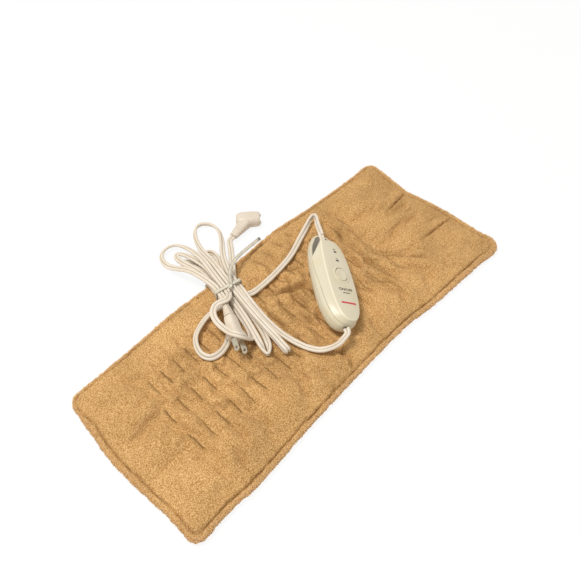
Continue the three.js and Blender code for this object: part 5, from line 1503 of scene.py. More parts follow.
    def bushings(self, hole_shade):
        """The cord's own jacket where it crosses the ledge, and at the other end a dark sleeve round it, painted shade
        for the hole it leaves through.
        """
        across, up = np.array(cord_section()[0]).T
        height = PARTING_HEIGHT + SEAT_GAP / 2
        half = CASE_LENGTH / 2
        for name, node, start, end, grow, material in (
                ("controller_pad_bush", "controller_gland_pad", 50, half + 1, 1.0, vinyl_material()),
                ("controller_mains_bush", "controller_gland_mains", -56, -half - 0.5, 1.06, hole_shade)):
            rings = [np.stack([np.full(len(up), u), across * grow, height + up * grow], axis=1)
                     for u in (start, end)]
            mesh_piece(name, moved(loft(rings), in_case), material, "cord_vinyl", [node])


# Pad

# How far the outline wanders, by the share of the way along each side
NEAR_WAVE = [
    (-1, 0), (-0.82, -2.5), (-0.69, -0.5), (-0.4, -4.5), (0, -7), (0.29, -7), (0.46, -1.5), (0.83, 3.5),
    (0.92, 6.5), (1, 2),
]
FAR_WAVE = [
    (-1, -2), (-0.82, -1.5), (-0.6, 0.5), (-0.4, 3.5), (-0.24, 2.5), (0, 4), (0.29, 6.5), (0.5, 1.5),
    (0.83, -2.5), (1, -1.5),
]
LEFT_WAVE = [(-1, 0), (-0.64, -1.5), (-0.35, 0.5), (0.15, 2.5), (0.54, -1.5), (1, -6)]
RIGHT_WAVE = [
    (-1, 0), (-0.74, -3.5), (-0.35, -2.5), (0.05, -4.5), (0.27, -7.5), (0.5, -4.5), (0.8, 0.5), (1, 2),
]
OUTLINE_STEPS = 201
EDGE_WANDER = 0.9
EDGE_WAVE_SIZE = 9
INLET_NOTCH = 2.2
COLLAR_HEIGHT = 10.4
COLLAR_ROUND = 3.2
POCKET_COVER = 0.6

# The pad's height by the distance from its edge: a rolled rim, then the crown
RIM_PROFILE = [
    (0, 4.6), (0.35, 6.3), (1, 7.5), (2, 8.3), (3.2, 8.7), (4.6, 8.7), (6, 8.5), (9, 8.9), (14, 9.8),
    (20, 10.6), (30, PAD_CREST), (400, PAD_CREST),
]

# The seam runs nearer to the edge on the far side; its plush puckers, and it slackens at both ends
SEAM_INSET = 7
SEAM_FAR_SHIFT = 2.6
SEAM_WIDTH = 1.1
SEAM_SHADE_WIDTH = 0.7
PUCKER_RISE = 1.1
PUCKER_SIZE = 8
PUCKER_REACH = 4.5

# Quilting: channels along the columns of dashes, gathers on their lines with painted shade, and the settled cloth
CHANNEL_DEPTH = 1.2
GATHER_DEPTH = 0.8
GATHER_WIDTH = 1.1
GATHER_SHADE = 0.4
LOOSE_CLOTH = {
    "vertex_group_mass": "held", "quality": 5, "bending_stiffness": 0.3, "shrink_min": -0.05,
    "use_pressure": True, "uniform_pressure_force": 0.6,
}
CLOTH_SHARE = 1.8
CLOTH_LIMIT = 2

# A sewn dash: the far row's shift, a narrow slit in a wide dip, with painted shade in the slit and a painted shadow on
# one side
FAR_ROW_STEP = 8
SLIT_WIDTH, SLIT_REACH, SLIT_SHARE, SLIT_SHADE = 0.75, 2, 0.42, 0.85
DIP_WIDTH, DIP_REACH, DIP_SHARE = 4.8, 7, 0.75
SHADOW_PLACE, SHADOW_WIDTH, SHADOW_REACH, SHADOW_SHADE = -1.7, 2.1, 4, 0.24

# A fold of the loose cloth, by its own width and depth: a cut between two lips, with painted shade at its bottom and
# in its hollow
FOLD_DEPTH = 1.7
CUT_WIDTH, BOTTOM_WIDTH, HOLLOW_WIDTH = 1.15, 0.6, 1.7
LIP_SHARE, LIP_PLACE, LIP_WIDTH = 0.45, 2.2, 1.4
HOLLOW_SHADE = 0.13

# What lies on the plush: the case with the height under it by the distance across, the bundle, two cords
CASE_BED_REACH = (70, 28)
CASE_BED = [(-26, 10.9), (-17, 10.9), (-15.4, 11.6), (15.4, 28), (26, 40)]
BUNDLE_BED = [(-62, 40), (66, 72)]
LEAD_BED = [(-24, 60), (16, 56), (50, 62), (77, 71), (97, 78), (110, 81)]
RUN_BED = [(-22, -50), (-31, -30), (-34, -10), (-34, 12), (-28, 51)]

# Swells of the loose cloth: x, y, rise, reach along x and reach along y
SWELLS = [
    (30.7, 6.1, 9, 15, 21), (62, 88, 2, 26, 8), (186, -18, 2, 20, 26), (214, 60, -1.5, 30, 8),
    (200, -34, -1.8, 32, 5), (208, 30, -1.8, 26, 5), (-215, -40, -0.8, 16, 30),
]

# Creases of the loose cloth: the points they pass, their depth and their width
CREASES = [
    ([(238, 30), (207, 26), (184, 24)], 1.9, 1.3),
    ([(238, -40), (208, -37), (170, -35)], 1.8, 1.3),
    ([(127, 13), (125, -4), (128, -14), (137, -23), (146, -37)], 1.9, 2.4),
    ([(144, -35), (152, -46), (161, -59)], 1.5, 1.8),
    ([(134, 50), (131, 30)], 1.3, 2.6),
    ([(111, 16), (108, -5), (110, -40), (110, -55)], 1.7, 2.8),
    ([(125, -26), (128, -39), (138, -52)], 1.5, 2.6),
    ([(86, -14), (93, -32), (101, -44), (101, -66)], 1.5, 3.0),
    ([(71, -16), (77, -38)], 1.8, 2.2),
    ([(122, 55), (115, 34)], 3.2, 3.4),
    ([(97, 8), (93, -17)], 1.3, 2.4),
    ([(-16, 53), (1, 38), (11, 30), (22, 25), (35, 19)], 3.8, 2.6),
    ([(29, 54), (40, 49), (57, 42)], 2.4, 2.1),
    ([(-20, 50), (-22, 34), (-24, 17), (-25, -1), (-24, -18)], 2.4, 1.9),
    ([(0, 36), (-5, 27), (-8, 11), (-9, -8)], 2.3, 1.9),
    ([(-3, 4), (0, -24)], 1.5, 2.0),
    ([(13, 25), (11, 15), (10, 2), (7, -11)], 2.3, 1.9),
    ([(23, 17), (20, 5)], 1.6, 1.8),
    ([(12, 53), (6, 40)], 1.6, 1.9),
    ([(27, 50), (22, 38), (19, 31)], 1.8, 1.9),
    ([(45, 47), (42, 34), (39, 25)], 1.8, 2.0),
    ([(-5, -76), (-15, -89)], 1.5, 2.0),
    ([(-39, -83), (-47, -94)], 1.5, 2.0),
    ([(18, 97), (19, 82), (22, 68)], 1.5, 2.8),
    ([(36, 98), (36, 84), (38, 72)], 1.4, 2.8),
    ([(55, 97), (55, 85), (57, 76)], 1.4, 2.6),
    ([(76, 96), (75, 88), (77, 82)], 1.2, 2.6),
]


def wave(points, share):
    """A smooth run through points, read by its first value."""
    points = np.asarray(points, float)
    share = np.asarray(share, float)
    last = len(points) - 1
    k = np.clip(np.searchsorted(points[:, 0], share, side="left") - 1, 0, last - 1)
    t = np.clip((share - points[k, 0]) / (points[k + 1, 0] - points[k, 0]), 0, 1)
    y = points[:, 1]
    y0, y1, y2, y3 = y[np.maximum(k - 1, 0)], y[k], y[k + 1], y[np.minimum(k + 2, last)]
    return cubic(y1, y2, (y2 - y0) / 2, (y3 - y1) / 2, t)


def from_edge(s, t):
    """The distance from the pad's edge in plain plan."""
    return np.minimum(HALF_LENGTH - np.abs(s), HALF_WIDTH - np.abs(t))


def wavy_plan(s, t):
    """From a plain rectangle to the pad's wandering outline, before it is centred."""
    over_x = np.maximum(0, np.abs(s) - (HALF_LENGTH - PAD_CORNER))
    over_y = np.maximum(0, np.abs(t) - (HALF_WIDTH - PAD_CORNER))
    both = (over_x > 0) & (over_y > 0)
    span = np.where(both, np.hypot(over_x, over_y), 1)
    turn = np.where(both, np.maximum(over_x, over_y) / span, 1)
    x = np.sign(s) * (np.abs(s) - over_x + over_x * turn)
    y = np.sign(t) * (np.abs(t) - over_y + over_y * turn)
    along, across = x / HALF_LENGTH, y / HALF_WIDTH
    ends = np.where(x < 0, wave(LEFT_WAVE, across), wave(RIGHT_WAVE, across)) * np.abs(along) ** 3
    sides = np.where(y < 0, wave(NEAR_WAVE, along), wave(FAR_WAVE, along)) * np.abs(across) ** 3
    return x + np.sign(x) * ends, y + np.sign(y) * sides


def plan_centre():
    """The middle of the outline's box."""
    share = np.linspace(-1, 1, OUTLINE_STEPS)
    edge = np.ones(OUTLINE_STEPS)
    runs = [wavy_plan(share * HALF_LENGTH, edge * side * HALF_WIDTH) for side in (-1, 1)]
    runs += [wavy_plan(edge * side * HALF_LENGTH, share * HALF_WIDTH) for side in (-1, 1)]
    x, y = np.concatenate(runs, axis=1)
    return (x.min() + x.max()) / 2, (y.min() + y.max()) / 2


PLAN_CENTRE = plan_centre()


def pad_plan(s, t):
    """The pad's plan: its outline, and the edge drawn back round the power inlet."""
    x, y = wavy_plan(s, t)
    x, y = x - PLAN_CENTRE[0], y - PLAN_CENTRE[1]
    mouth = eased(np.abs(x - INLET_PLACE), INLET_WIDTH / 2 + 9, INLET_WIDTH / 2 + 1)
    edge = EDGE_WANDER * eased(from_edge(s, t), 14, 2)
    x = x + edge * soft_waves(s, t, EDGE_WAVE_SIZE, SEED + 8)
    y = y + edge * soft_waves(s, t, EDGE_WAVE_SIZE, SEED + 9)
    return x, y - INLET_NOTCH * mouth * eased(y, HALF_WIDTH - 22, HALF_WIDTH)


def line_distance(x, y, points):
    """The distance to a run of points, and the share of the way along it."""
    best = np.full(np.shape(x), 1e9)
    share = np.zeros(np.shape(x))
    count = len(points) - 1
    for i in range(count):
        (x0, y0), (x1, y1) = points[i], points[i + 1]
        dx, dy = x1 - x0, y1 - y0
        t = np.clip(((x - x0) * dx + (y - y0) * dy) / (dx * dx + dy * dy), 0, 1)
        distance = np.hypot(x - x0 - t * dx, y - y0 - t * dy)
        share = np.where(distance < best, (i + t) / count, share)
        best = np.minimum(best, distance)
    return best, share


def soft_waves(x, y, size, seed):
    """Gentle random waves of about size millimetres, from a fixed seed."""
    draw = np.random.default_rng(seed)
    total = np.zeros(np.shape(x))
    waves = 9
    for _ in range(waves):
        angle, phase = draw.uniform(0, 2 * math.pi, 2)
        length = size * draw.uniform(0.7, 1.6)
        total += np.sin((x * math.cos(angle) + y * math.sin(angle)) * 2 * math.pi / length + phase)
    return total / waves


def seam_inset(s, t):
    """How far in the seam runs: closer to the edge on the far side, and wandering a little."""
    wander = 1.2 * soft_waves(s, t, 40, SEED + 2) + 0.8 * soft_waves(s, t, 12, SEED + 6)
    return SEAM_INSET - SEAM_FAR_SHIFT * eased(t, 55, 90) + wander


def tacks():
    """Every sewn dash: its middle, how firmly it holds, its lean and half its length.

    The far row is a little tilted and out of step.
    """
    draw = np.random.default_rng(SEED + 3)
    for row in TACK_ROWS:
        far = row == max(TACK_ROWS)
        for column in range(TACK_COLUMNS):
            x = TACK_START + column * TACK_PITCH
            y = row + (0.02 * x if far else 0.6 * math.sin(column * 1.7))
            x += FAR_ROW_STEP if far else 0
            hold = draw.uniform(0.7, 1.05) * (1 - 0.5 * eased(x, 30, 70))
            lean = draw.uniform(-0.07, 0.07)
            yield x, y, hold, lean, TACK_LENGTH / 2 * draw.uniform(0.75, 1)


def tack_line(t, tack_x, tack_y, lean):
    """Where a sewn dash runs at a distance t across the pad."""
    return tack_x + lean * (t - tack_y) - 0.35 * np.sin(t / 3.5 + tack_x)


@functools.cache
def settled_cloth():
    """Relief of the loose cover between its seams and dashes, from a short cloth simulation."""
    # One Blender unit stands for 100 mm, on a coarse grid
    per_unit = 100
    columns, rows, frames = 121, 51, 26
    s, t = np.meshgrid(np.linspace(-HALF_LENGTH, HALF_LENGTH, columns),
                       np.linspace(-HALF_WIDTH, HALF_WIDTH, rows))
    held = from_edge(s, t) < 8
    for tack_x, tack_y, _, _, reach in tacks():
        held |= (np.abs(s - tack_x) < 2.1) & (np.abs(t - tack_y) < reach)
    start = np.stack([s, t, 0.5 * soft_waves(s, t, 26, SEED + 5)], axis=2).reshape(-1, 3) / per_unit
    mesh = bpy.data.meshes.new("loose_cover")
    mesh.from_pydata(start.tolist(), [], band_faces(rows, columns, closed=False))
    cover = new_object("loose_cover", mesh)
    pins = cover.vertex_groups.new(name="held")
    pins.add(np.flatnonzero(held.reshape(-1)).tolist(), 1, "REPLACE")
    pins.add(np.flatnonzero(~held.reshape(-1)).tolist(), 0.02, "REPLACE")
    cloth = cover.modifiers.new("cloth", "CLOTH")
    for name, value in LOOSE_CLOTH.items():
        setattr(cloth.settings, name, value)
    cloth.settings.effector_weights.gravity = 0
    cloth.collision_settings.use_collision = False
    cloth.point_cache.frame_end = frames
    scene = bpy.context.scene
    for number in range(1, frames + 1):
        scene.frame_set(number)
    settled = plain_mesh(cover)
    rise = np.array([v.co.z for v in settled.vertices]).reshape(rows, columns) * per_unit
    bpy.data.objects.remove(cover)
    scene.frame_set(1)
    broad = run_mean(run_mean(rise, 9).T, 9).T
    return rise - broad


def run_mean(grid, count):
    """The running mean of each row of a grid."""
    padded = np.pad(grid, ((0, 0), (count // 2, count // 2)), mode="edge")
    return np.stack([np.convolve(row, np.ones(count) / count, "valid") for row in padded])


def cloth_relief(s, t):
    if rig.quick():
        return np.zeros(np.shape(s))
    rise = settled_cloth()
    rows, columns = rise.shape
    i = np.clip((s / PAD_LENGTH + 0.5) * (columns - 1), 0, columns - 1.001)
    j = np.clip((t / PAD_WIDTH + 0.5) * (rows - 1), 0, rows - 1.001)
    left, low = i.astype(int), j.astype(int)
    near = lerp(rise[low, left], rise[low, left + 1], i - left)
    far = lerp(rise[low + 1, left], rise[low + 1, left + 1], i - left)
    return np.clip(lerp(near, far, j - low), -CLOTH_LIMIT, CLOTH_LIMIT)


def rim_and_seam(s, t, inside):
    """The rolled rim and its puckered seam: the height, and the painted shade along the seam."""
    off_seam = inside - seam_inset(s, t)
    right_end, left_end = eased(s, 190, 220), eased(s, -200, -230)
    pull = (1 + 0.3 * np.sin(s / 3.1) * np.sin(t / 2.7 + s / 9)) * (1 - 0.45 * right_end)
    height = np.interp(inside, *zip(*RIM_PROFILE))
    height -= settings().pad.seam_depth / MM * pull * bell(off_seam, SEAM_WIDTH)
    height += PUCKER_RISE * soft_waves(s, t, PUCKER_SIZE, SEED + 7) * bell(off_seam, PUCKER_REACH)
    # How dark the painted shade along the seam is: fainter on the far side and towards both ends
    drawn = 0.6 + 0.5 * soft_waves(s, t, 25, SEED + 4) - 0.4 * eased(t, 60, 85)
    drawn -= 0.4 * right_end + 0.25 * left_end
    return height, np.clip(drawn, 0.06, 0.9) * bell(off_seam, SEAM_SHADE_WIDTH)


def quilting(s, t, inside):
    """Channels and gathers along the columns of dashes, and the settled cloth: rise, and painted shade on the gathers.
    """
    field = eased(inside, 12, 34)
    place = (s - TACK_START) / TACK_PITCH
    column = np.round(place)
    sewn = eased(place, -0.9, -0.3) * eased(place, TACK_COLUMNS - 0.1, TACK_COLUMNS - 0.7)
    channel = np.cos(math.pi * (place - column)) ** 2 * sewn
    off_line = (place - column) * TACK_PITCH + 1.3 * np.sin(t / 6 + 2.1 * column)
    gather = bell(off_line, GATHER_WIDTH) * eased(np.abs(t), 52, 38)
    gather *= sewn * np.clip(0.55 + 0.9 * soft_waves(s, t, 22, SEED + 10), 0, 1)
    rise = CLOTH_SHARE * cloth_relief(s, t) - CHANNEL_DEPTH * channel - GATHER_DEPTH * gather
    return rise * field, GATHER_SHADE * gather * field


def sewn_dashes(s, t):
    """The slit and dip of every sewn dash, with painted shade in its slit and a painted shadow beside it: rise and
    painted shade.
    """
    depth = settings().pad.tack_depth / MM
    rise, crease = np.zeros(np.shape(s)), np.zeros(np.shape(s))
    for tack_x, tack_y, hold, lean, reach in tacks():
        near = (np.abs(s - tack_x) < 15) & (np.abs(t - tack_y) < 28)
        along = np.maximum(np.abs(t[near] - tack_y) - reach, 0)
        across = s[near] - tack_line(t[near], tack_x, tack_y, lean)
        slit = bell(across, SLIT_WIDTH) * bell(along, SLIT_REACH)
        dip = bell(across, DIP_WIDTH) * bell(along, DIP_REACH)
        shadow = bell(across - SHADOW_PLACE, SHADOW_WIDTH) * bell(along, SHADOW_REACH)
        rise[near] -= hold * depth * (SLIT_SHARE * slit + DIP_SHARE * dip)
        crease[near] = np.maximum(crease[near], hold * (SLIT_SHADE * slit + SHADOW_SHADE * shadow))
    return rise, crease


def loose_folds(x, y, inside):
    """Every fold of the loose cloth, with painted shade at its bottom and softer painted shade beside it: rise and
    painted shade.
    """
    rise, crease = np.zeros(np.shape(x)), np.zeros(np.shape(x))
    for points, depth, width in CREASES:
        distance, share = line_distance(x, y, points)
        fade = np.sin(math.pi * np.clip(share, 0.06, 0.94)) ** 0.7 * eased(inside, 4, 12)
        cut = bell(distance, CUT_WIDTH * width)
        lip = bell(distance - LIP_PLACE * width, LIP_WIDTH * width)
        rise += FOLD_DEPTH * depth * (LIP_SHARE * lip - cut) * fade
        bottom = min(0.85, 0.25 + 0.18 * depth) * bell(distance, BOTTOM_WIDTH * width)
        hollow = HOLLOW_SHADE * depth * bell(distance, HOLLOW_WIDTH * width)
        crease = np.maximum(crease, np.maximum(bottom, hollow) * fade)
    return rise, crease


def pad_shape(s, t, x, y):
    """Height of the plush at plain plan (s, t), and the painted shade of its folds, slits and seam there."""
    inside = from_edge(s, t)
    height, crease = rim_and_seam(s, t, inside)
    for rise, shade in (quilting(s, t, inside), sewn_dashes(s, t), loose_folds(x, y, inside)):
        height += rise
        crease = np.maximum(crease, shade)
    for swell_x, swell_y, rise, reach_x, reach_y in SWELLS:
        bulge = bell(s - swell_x, reach_x) * bell(t - swell_y, reach_y)
        height += rise * bulge * eased(inside, SEAM_INSET, SEAM_INSET + 30)
    waves = 1.5 * soft_waves(s, t, 50, SEED) + 0.5 * soft_waves(s, t, 18, SEED + 1)
    height += waves * eased(inside, 10, 24)
    # The plush clears the pocket inside it, and stands up round the power inlet
    height = np.maximum(height, (POCKET_TOP + POCKET_COVER) * eased(inside, 12, 22))
    mouth = eased(np.abs(x - INLET_PLACE), INLET_WIDTH / 2 + 7, INLET_WIDTH / 2 + 1) * eased(y, 78, 90)
    collar = COLLAR_HEIGHT - COLLAR_ROUND * eased(inside, 1.2, 0)
    return lerp(height, np.maximum(height, collar), mouth), crease


def pressed(x, y, height):
    """Keeps the plush just under the controller and the cords that lie on it."""
    right, ahead = x - CASE_PLACE[0], y - CASE_PLACE[1]
    u = right * math.cos(CASE_HEADING) + ahead * math.sin(CASE_HEADING)
    v = ahead * math.cos(CASE_HEADING) - right * math.sin(CASE_HEADING)
    reach_u, reach_v = CASE_BED_REACH
    off_case = (np.abs(u) / reach_u) ** CASE_POWER + (np.abs(v) / reach_v) ** CASE_POWER
    under_case = np.interp(v, *zip(*CASE_BED))
    height = lerp(height, np.minimum(height, under_case), eased(off_case, 1.3, 0.8))
    (bundle_x, bundle_y), (reach_x, reach_y) = BUNDLE_BED
    off_bundle = np.hypot((x - bundle_x) / reach_x, (y - bundle_y) / reach_y)
    beds = [eased(line_distance(x, y, bed)[0], 9, 4) for bed in (LEAD_BED, RUN_BED)]
    for mask in (eased(off_bundle, 1.15, 0.85), *beds):
        height = lerp(height, np.minimum(height, PAD_CREST + SEAT_GAP / 2), mask)
    return height


class PAD_OT_make(bpy.types.Operator):
    """Makes the plush pad: its quilted top and its back"""

    bl_idname = "heating_pad.pad"
    bl_label = "Pad"

    STEP_ALONG = 0.95
    STEP_ACROSS = 1.25

    def execute(self, context):
        """The top is sculpted from its seams, sewn dashes and folds; the back lies flat."""
        plush = plush_material()
        columns = int(PAD_LENGTH / self.STEP_ALONG)
        rows = int(PAD_WIDTH / self.STEP_ACROSS)
        lines_s = self.lines(HALF_LENGTH, columns)
        lines_t = self.lines(HALF_WIDTH, rows)
        s, t = np.meshgrid(lines_s, lines_t)
        x, y = pad_plan(s, t)
        height, crease = pad_shape(s, t, x, y)
        height = pressed(x, y, height)
        self.top(plush, x, y, height, crease)
        self.back(plush, lines_s[::3], lines_t[::3])
        return {"FINISHED"}

    def lines(self, half, count):
        """Grid lines that crowd towards the edge, where the rim turns over."""
        edge = [0, 0.25, 0.7, 1.3, 2.1]
        middle = np.linspace(-half + 3.1, half - 3.1, count)
        return np.concatenate([[d - half for d in edge], middle, [half - d for d in reversed(edge)]])

    def walk(self, rows, columns):
        """Grid places round the rim, in order."""
        run = [(0, i) for i in range(columns - 1)]
        run += [(j, columns - 1) for j in range(rows - 1)]
        run += [(rows - 1, i) for i in range(columns - 1, 0, -1)]
        return run + [(j, 0) for j in range(rows - 1, 0, -1)]

    def top(self, plush, x, y, height, crease):
        """The quilted top cover, turned under at its rim."""
        rows, columns = x.shape
        points = np.stack([x, y, height], axis=2).reshape(-1, 3)
        faces = band_faces(rows, columns, closed=False)
        rim = [j * columns + i for j, i in self.walk(rows, columns)]
        middle = points[rim].mean(axis=0)
        shades = [crease.reshape(-1)]
        last = rim
        count = len(rim)
        for inset, level in ((0.9, 3.7), (2.6, BACK_THICK + 0.4)):
            ring = points[rim].copy()
            inward = middle - ring
            inward[:, 2] = 0
            ring += unit(inward) * inset
            ring[:, 2] = level
            new = list(range(len(points), len(points) + count))
            points = np.vstack([points, ring])
            faces += [(last[i - 1], last[i], new[i], new[i - 1]) for i in range(count)]
            last = new
            # The turned-under rim takes a light painted shade
            shades.append(np.full(count, 0.3))
        faces.append(tuple(last))
        cover = mesh_piece("pad_plush_top", (points, faces), plush, "plush", ["pad_cover_top"],
                           shade_angle=75, attributes={"crease": np.concatenate(shades)})
        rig.padded(cover, fill=0.35)

    def back(self, plush, lines_s, lines_t):
        """The back cover, flat where it rests, with a soft edge."""
        walk = self.walk(len(lines_t), len(lines_s))
        s = np.array([lines_s[i] for _, i in walk])
        t = np.array([lines_t[j] for j, _ in walk])
        profile = [(2.4, BACK_THICK), (1.5, BACK_THICK - 0.3), (1.2, 1.5), (1.8, 0.8), (3.2, 0.25), (6, 0.0)]
        rings = []
        for inset, z in profile:
            x, y = pad_plan(s * (1 - inset / HALF_LENGTH), t * (1 - inset / HALF_WIDTH))
            rings.append(np.stack([x, y, np.full(len(x), z)], axis=1))
        points = np.concatenate(rings)
        count = len(walk)
        faces = band_faces(len(rings), count)
        faces += [tuple(range(count)), tuple(range(len(points) - count, len(points)))]
        back = mesh_piece("pad_plush_back", (points, faces), plush, "back_cloth", ["pad_cover_back"],
                          shade_angle=75, attributes={"crease": np.zeros(len(points))})
        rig.padded(back, fill=0.2)


# Stitches and pile


def laid_tree(name, shape, shape_inputs, axis):
    """Geometry nodes that lay a small shape along every point's heading, longer for a longer heading."""
    tree = bpy.data.node_groups.new(name, "GeometryNodeTree")
    kinds = {"Geometry": "Geometry", "Length": "Float", "Size": "Float", "Material": "Material"}
    for title, kind in kinds.items():
        tree.interface.new_socket(title, in_out="INPUT", socket_type="NodeSocket" + kind)
    tree.interface.new_socket("Geometry", in_out="OUTPUT", socket_type="NodeSocketGeometry")
    given = add_node(tree, "NodeGroupInput").outputs
    one = add_node(tree, shape, shape_inputs, "Mesh")
    way = add_node(tree, "GeometryNodeInputNamedAttribute", {"Name": "heading"}, "Attribute",
                   data_type="FLOAT_VECTOR")
    turn = add_node(tree, "FunctionNodeAlignRotationToVector", {"Vector": way}, 0, axis=axis)
    grown = add_node(tree, "ShaderNodeVectorMath", {0: way}, "Value", operation="LENGTH")
    long = add_node(tree, "ShaderNodeMath", {0: grown, 1: given["Length"]}, 0, operation="MULTIPLY")
    sides = {"X": given["Size"], "Y": given["Size"], "Z": given["Size"], axis: long}
    size = add_node(tree, "ShaderNodeCombineXYZ", sides, 0)
    laid = add_node(tree, "GeometryNodeInstanceOnPoints", {
        "Points": given["Geometry"], "Instance": one, "Rotation": turn, "Scale": size}, 0)
    real = add_node(tree, "GeometryNodeRealizeInstances", {"Geometry": laid}, 0)
    done = add_node(tree, "GeometryNodeSetMaterial", {"Geometry": real, "Material": given["Material"]}, 0)
    add_node(tree, "NodeGroupOutput", {"Geometry": done})
    return tree


def laid_piece(name, tree, found, length, size, material):
    """A plain mesh of small shapes laid by a node tree at places in millimetres, along headings."""
    places, headings = (np.concatenate(runs) for runs in zip(*found))
    mesh = new_mesh(name, places, [])
    layer = mesh.attributes.new("heading", "FLOAT_VECTOR", "POINT")
    layer.data.foreach_set("vector", np.asarray(headings, np.float32).reshape(-1))
    piece = new_object(name, mesh)
    modifier = piece.modifiers.new(tree.name, "NODES")
    modifier.node_group = tree
    values = {"Length": length, "Size": size, "Material": material}
    for socket in tree.interface.items_tree:
        if socket.in_out == "INPUT" and socket.name in values:
            modifier[socket.identifier] = values[socket.name]
    apply_modifiers(piece)
    piece.data.shade_smooth()
    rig.ride(piece, BASE)
    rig.slot(piece, "plush")


def on_plush(s, t, lift):
    """Points on the plush at plain plan (s, t), lifted a little."""
    x, y = pad_plan(s, t)
    height, _ = pad_shape(s, t, x, y)
    return np.stack([x, y, pressed(x, y, height) + lift], axis=1)


class STITCHES_OT_make(bpy.types.Operator):
    """Sews the seam round the pad and the dashes across it"""

    bl_idname = "heating_pad.stitches"
    bl_label = "Stitches"

    SEAM_PITCH = 3.2
    CORNER = 11
    DASH_STITCHES = 7
    DASH_SHARE = 0.85
    LIFT = 0.1
    REACH = 0.8

    def execute(self, context):
        """Every stitch is one point with a heading; the node tree lays the thread."""
        look = settings().pad
        ball = {"Segments": 6, "Rings": 4, "Radius": 0.5}
        tree = laid_tree("laid_stitches", "GeometryNodeMeshUVSphere", ball, "X")
        thread = thread_material()
        for name, length, found in (
                ("pad_seam_stitches", look.stitch_length, self.seam_places()),
                ("pad_dash_stitches", look.stitch_length * self.DASH_SHARE, self.dash_places())):
            laid_piece(name, tree, found, length, look.thread_size, thread)
        return {"FINISHED"}

    def seam_places(self):
        """Places and headings of the stitches round the pad."""
        found = []
        for half, other, along in ((HALF_LENGTH, HALF_WIDTH, True), (HALF_WIDTH, HALF_LENGTH, False)):
            run = np.arange(-half + self.CORNER, half - self.CORNER, self.SEAM_PITCH)
            for way in (-1, 1):
                edge = np.full(len(run), way * other)
                inset = seam_inset(run, edge) if along else seam_inset(edge, run)
                drawn_in = way * (other - inset)
                found.append(self.laid(run, drawn_in, 1, 0) if along else self.laid(drawn_in, run, 0, 1))
        return found

    def dash_places(self):
        """Places and headings of the stitches of every sewn dash."""
        found = []
        for tack_x, tack_y, _, lean, reach in tacks():
            t = tack_y + np.linspace(-reach, reach, self.DASH_STITCHES)
            found.append(self.laid(tack_line(t, tack_x, tack_y, lean), t, lean, 1))
        return found

    def laid(self, s, t, way_s, way_t):
        """Places on the plush, and the headings there."""
        ends = [on_plush(s + step * way_s, t + step * way_t, self.LIFT) for step in (-self.REACH, self.REACH)]
        way = ends[1] - ends[0]
        return (ends[0] + ends[1]) / 2, unit(way)


class PILE_OT_make(bpy.types.Operator):
    """Lets the pile of the plush stand out round the rim"""

    bl_idname = "heating_pad.pile"
    bl_label = "Rim pile"

    PER_MILLIMETRE = 6
    DEEPEST = 4.5
    ROOT = 0.2
    SPREAD = 0.45
    STAND = 0.55

    def execute(self, context):
        """Every tuft is one point with a heading that leans outwards."""
        look = settings().pad
        draw = np.random.default_rng(SEED + 12)
        cone = {"Vertices": 4, "Radius Top": 0.05, "Radius Bottom": 0.5, "Depth": 1}
        tree = laid_tree("standing_pile", "GeometryNodeMeshCone", cone, "Z")
        found = [self.side(draw, along_length, way) for along_length in (True, False) for way in (-1, 1)]
        laid_piece("pad_rim_pile", tree, found, look.pile_length, look.pile_size, pile_material())
        return {"FINISHED"}

    def side(self, draw, along_length, way):
        """Places and headings of the tufts along one side of the pad."""
        half, other = (HALF_LENGTH, HALF_WIDTH) if along_length else (HALF_WIDTH, HALF_LENGTH)
        count = int(2 * half * self.PER_MILLIMETRE)
        run = draw.uniform(-half, half, count)
        depth = self.DEEPEST * draw.uniform(0, 1, count) ** 1.6
        edge = way * (other - depth)
        s, t = (run, edge) if along_length else (edge, run)
        places = on_plush(s, t, -self.ROOT)
        lean = draw.normal(0, self.SPREAD, (count, 3))
        outward = np.array([0, way, self.STAND] if along_length else [way, 0, self.STAND])
        headings = lean + outward * (1 - 0.1 * depth[:, None]) + [0, 0, 0.12] * depth[:, None]
        return places, unit(headings) * draw.uniform(0.5, 1.1, count)[:, None]


# Pieces that keep their solids


class FINISHES_OT_make(bpy.types.Operator):
    """Gives the solids that stay in view their finishes"""

    bl_idname = "heating_pad.finishes"
    bl_label = "Finishes"

    def execute(self, context):
        """Each remaining solid takes the finish of its material slot."""
        finishes = {
            "felt": felt_material(),
            "heater_sleeve": moulded_material("silicone_sleeve", linear("B9B4A8"), 0.6, 0.08),
            "black_moulding": moulded_material("moulded_phenolic_black", linear("2A2A2D"), 0.5),
            "ivory_case": case_material(),
            "cord_vinyl": vinyl_material(),
            "circuit_board": moulded_material("epoxy_glass_board", linear("3F6B45"), 0.4, 0.04),
            "lamp": moulded_material("tinted_epoxy_lamp", linear("7A2B20"), 0.15, 0.01),
            "smoked_window": window_material(),
            "plated_steel": plated_material("nickel_plated_steel", settings().cords.steel, roughness=0.2),
            "brass": plated_material("drawn_brass", linear("C9A85A"), roughness=0.25),
        }
        for part in frame["record"]["subparts"]:
            node = frame["nodes"][part["node"]]
            if part["material_slot"] in finishes:
                node.data.materials.clear()
                node.data.materials.append(finishes[part["material_slot"]])
        return {"FINISHED"}


# Stage


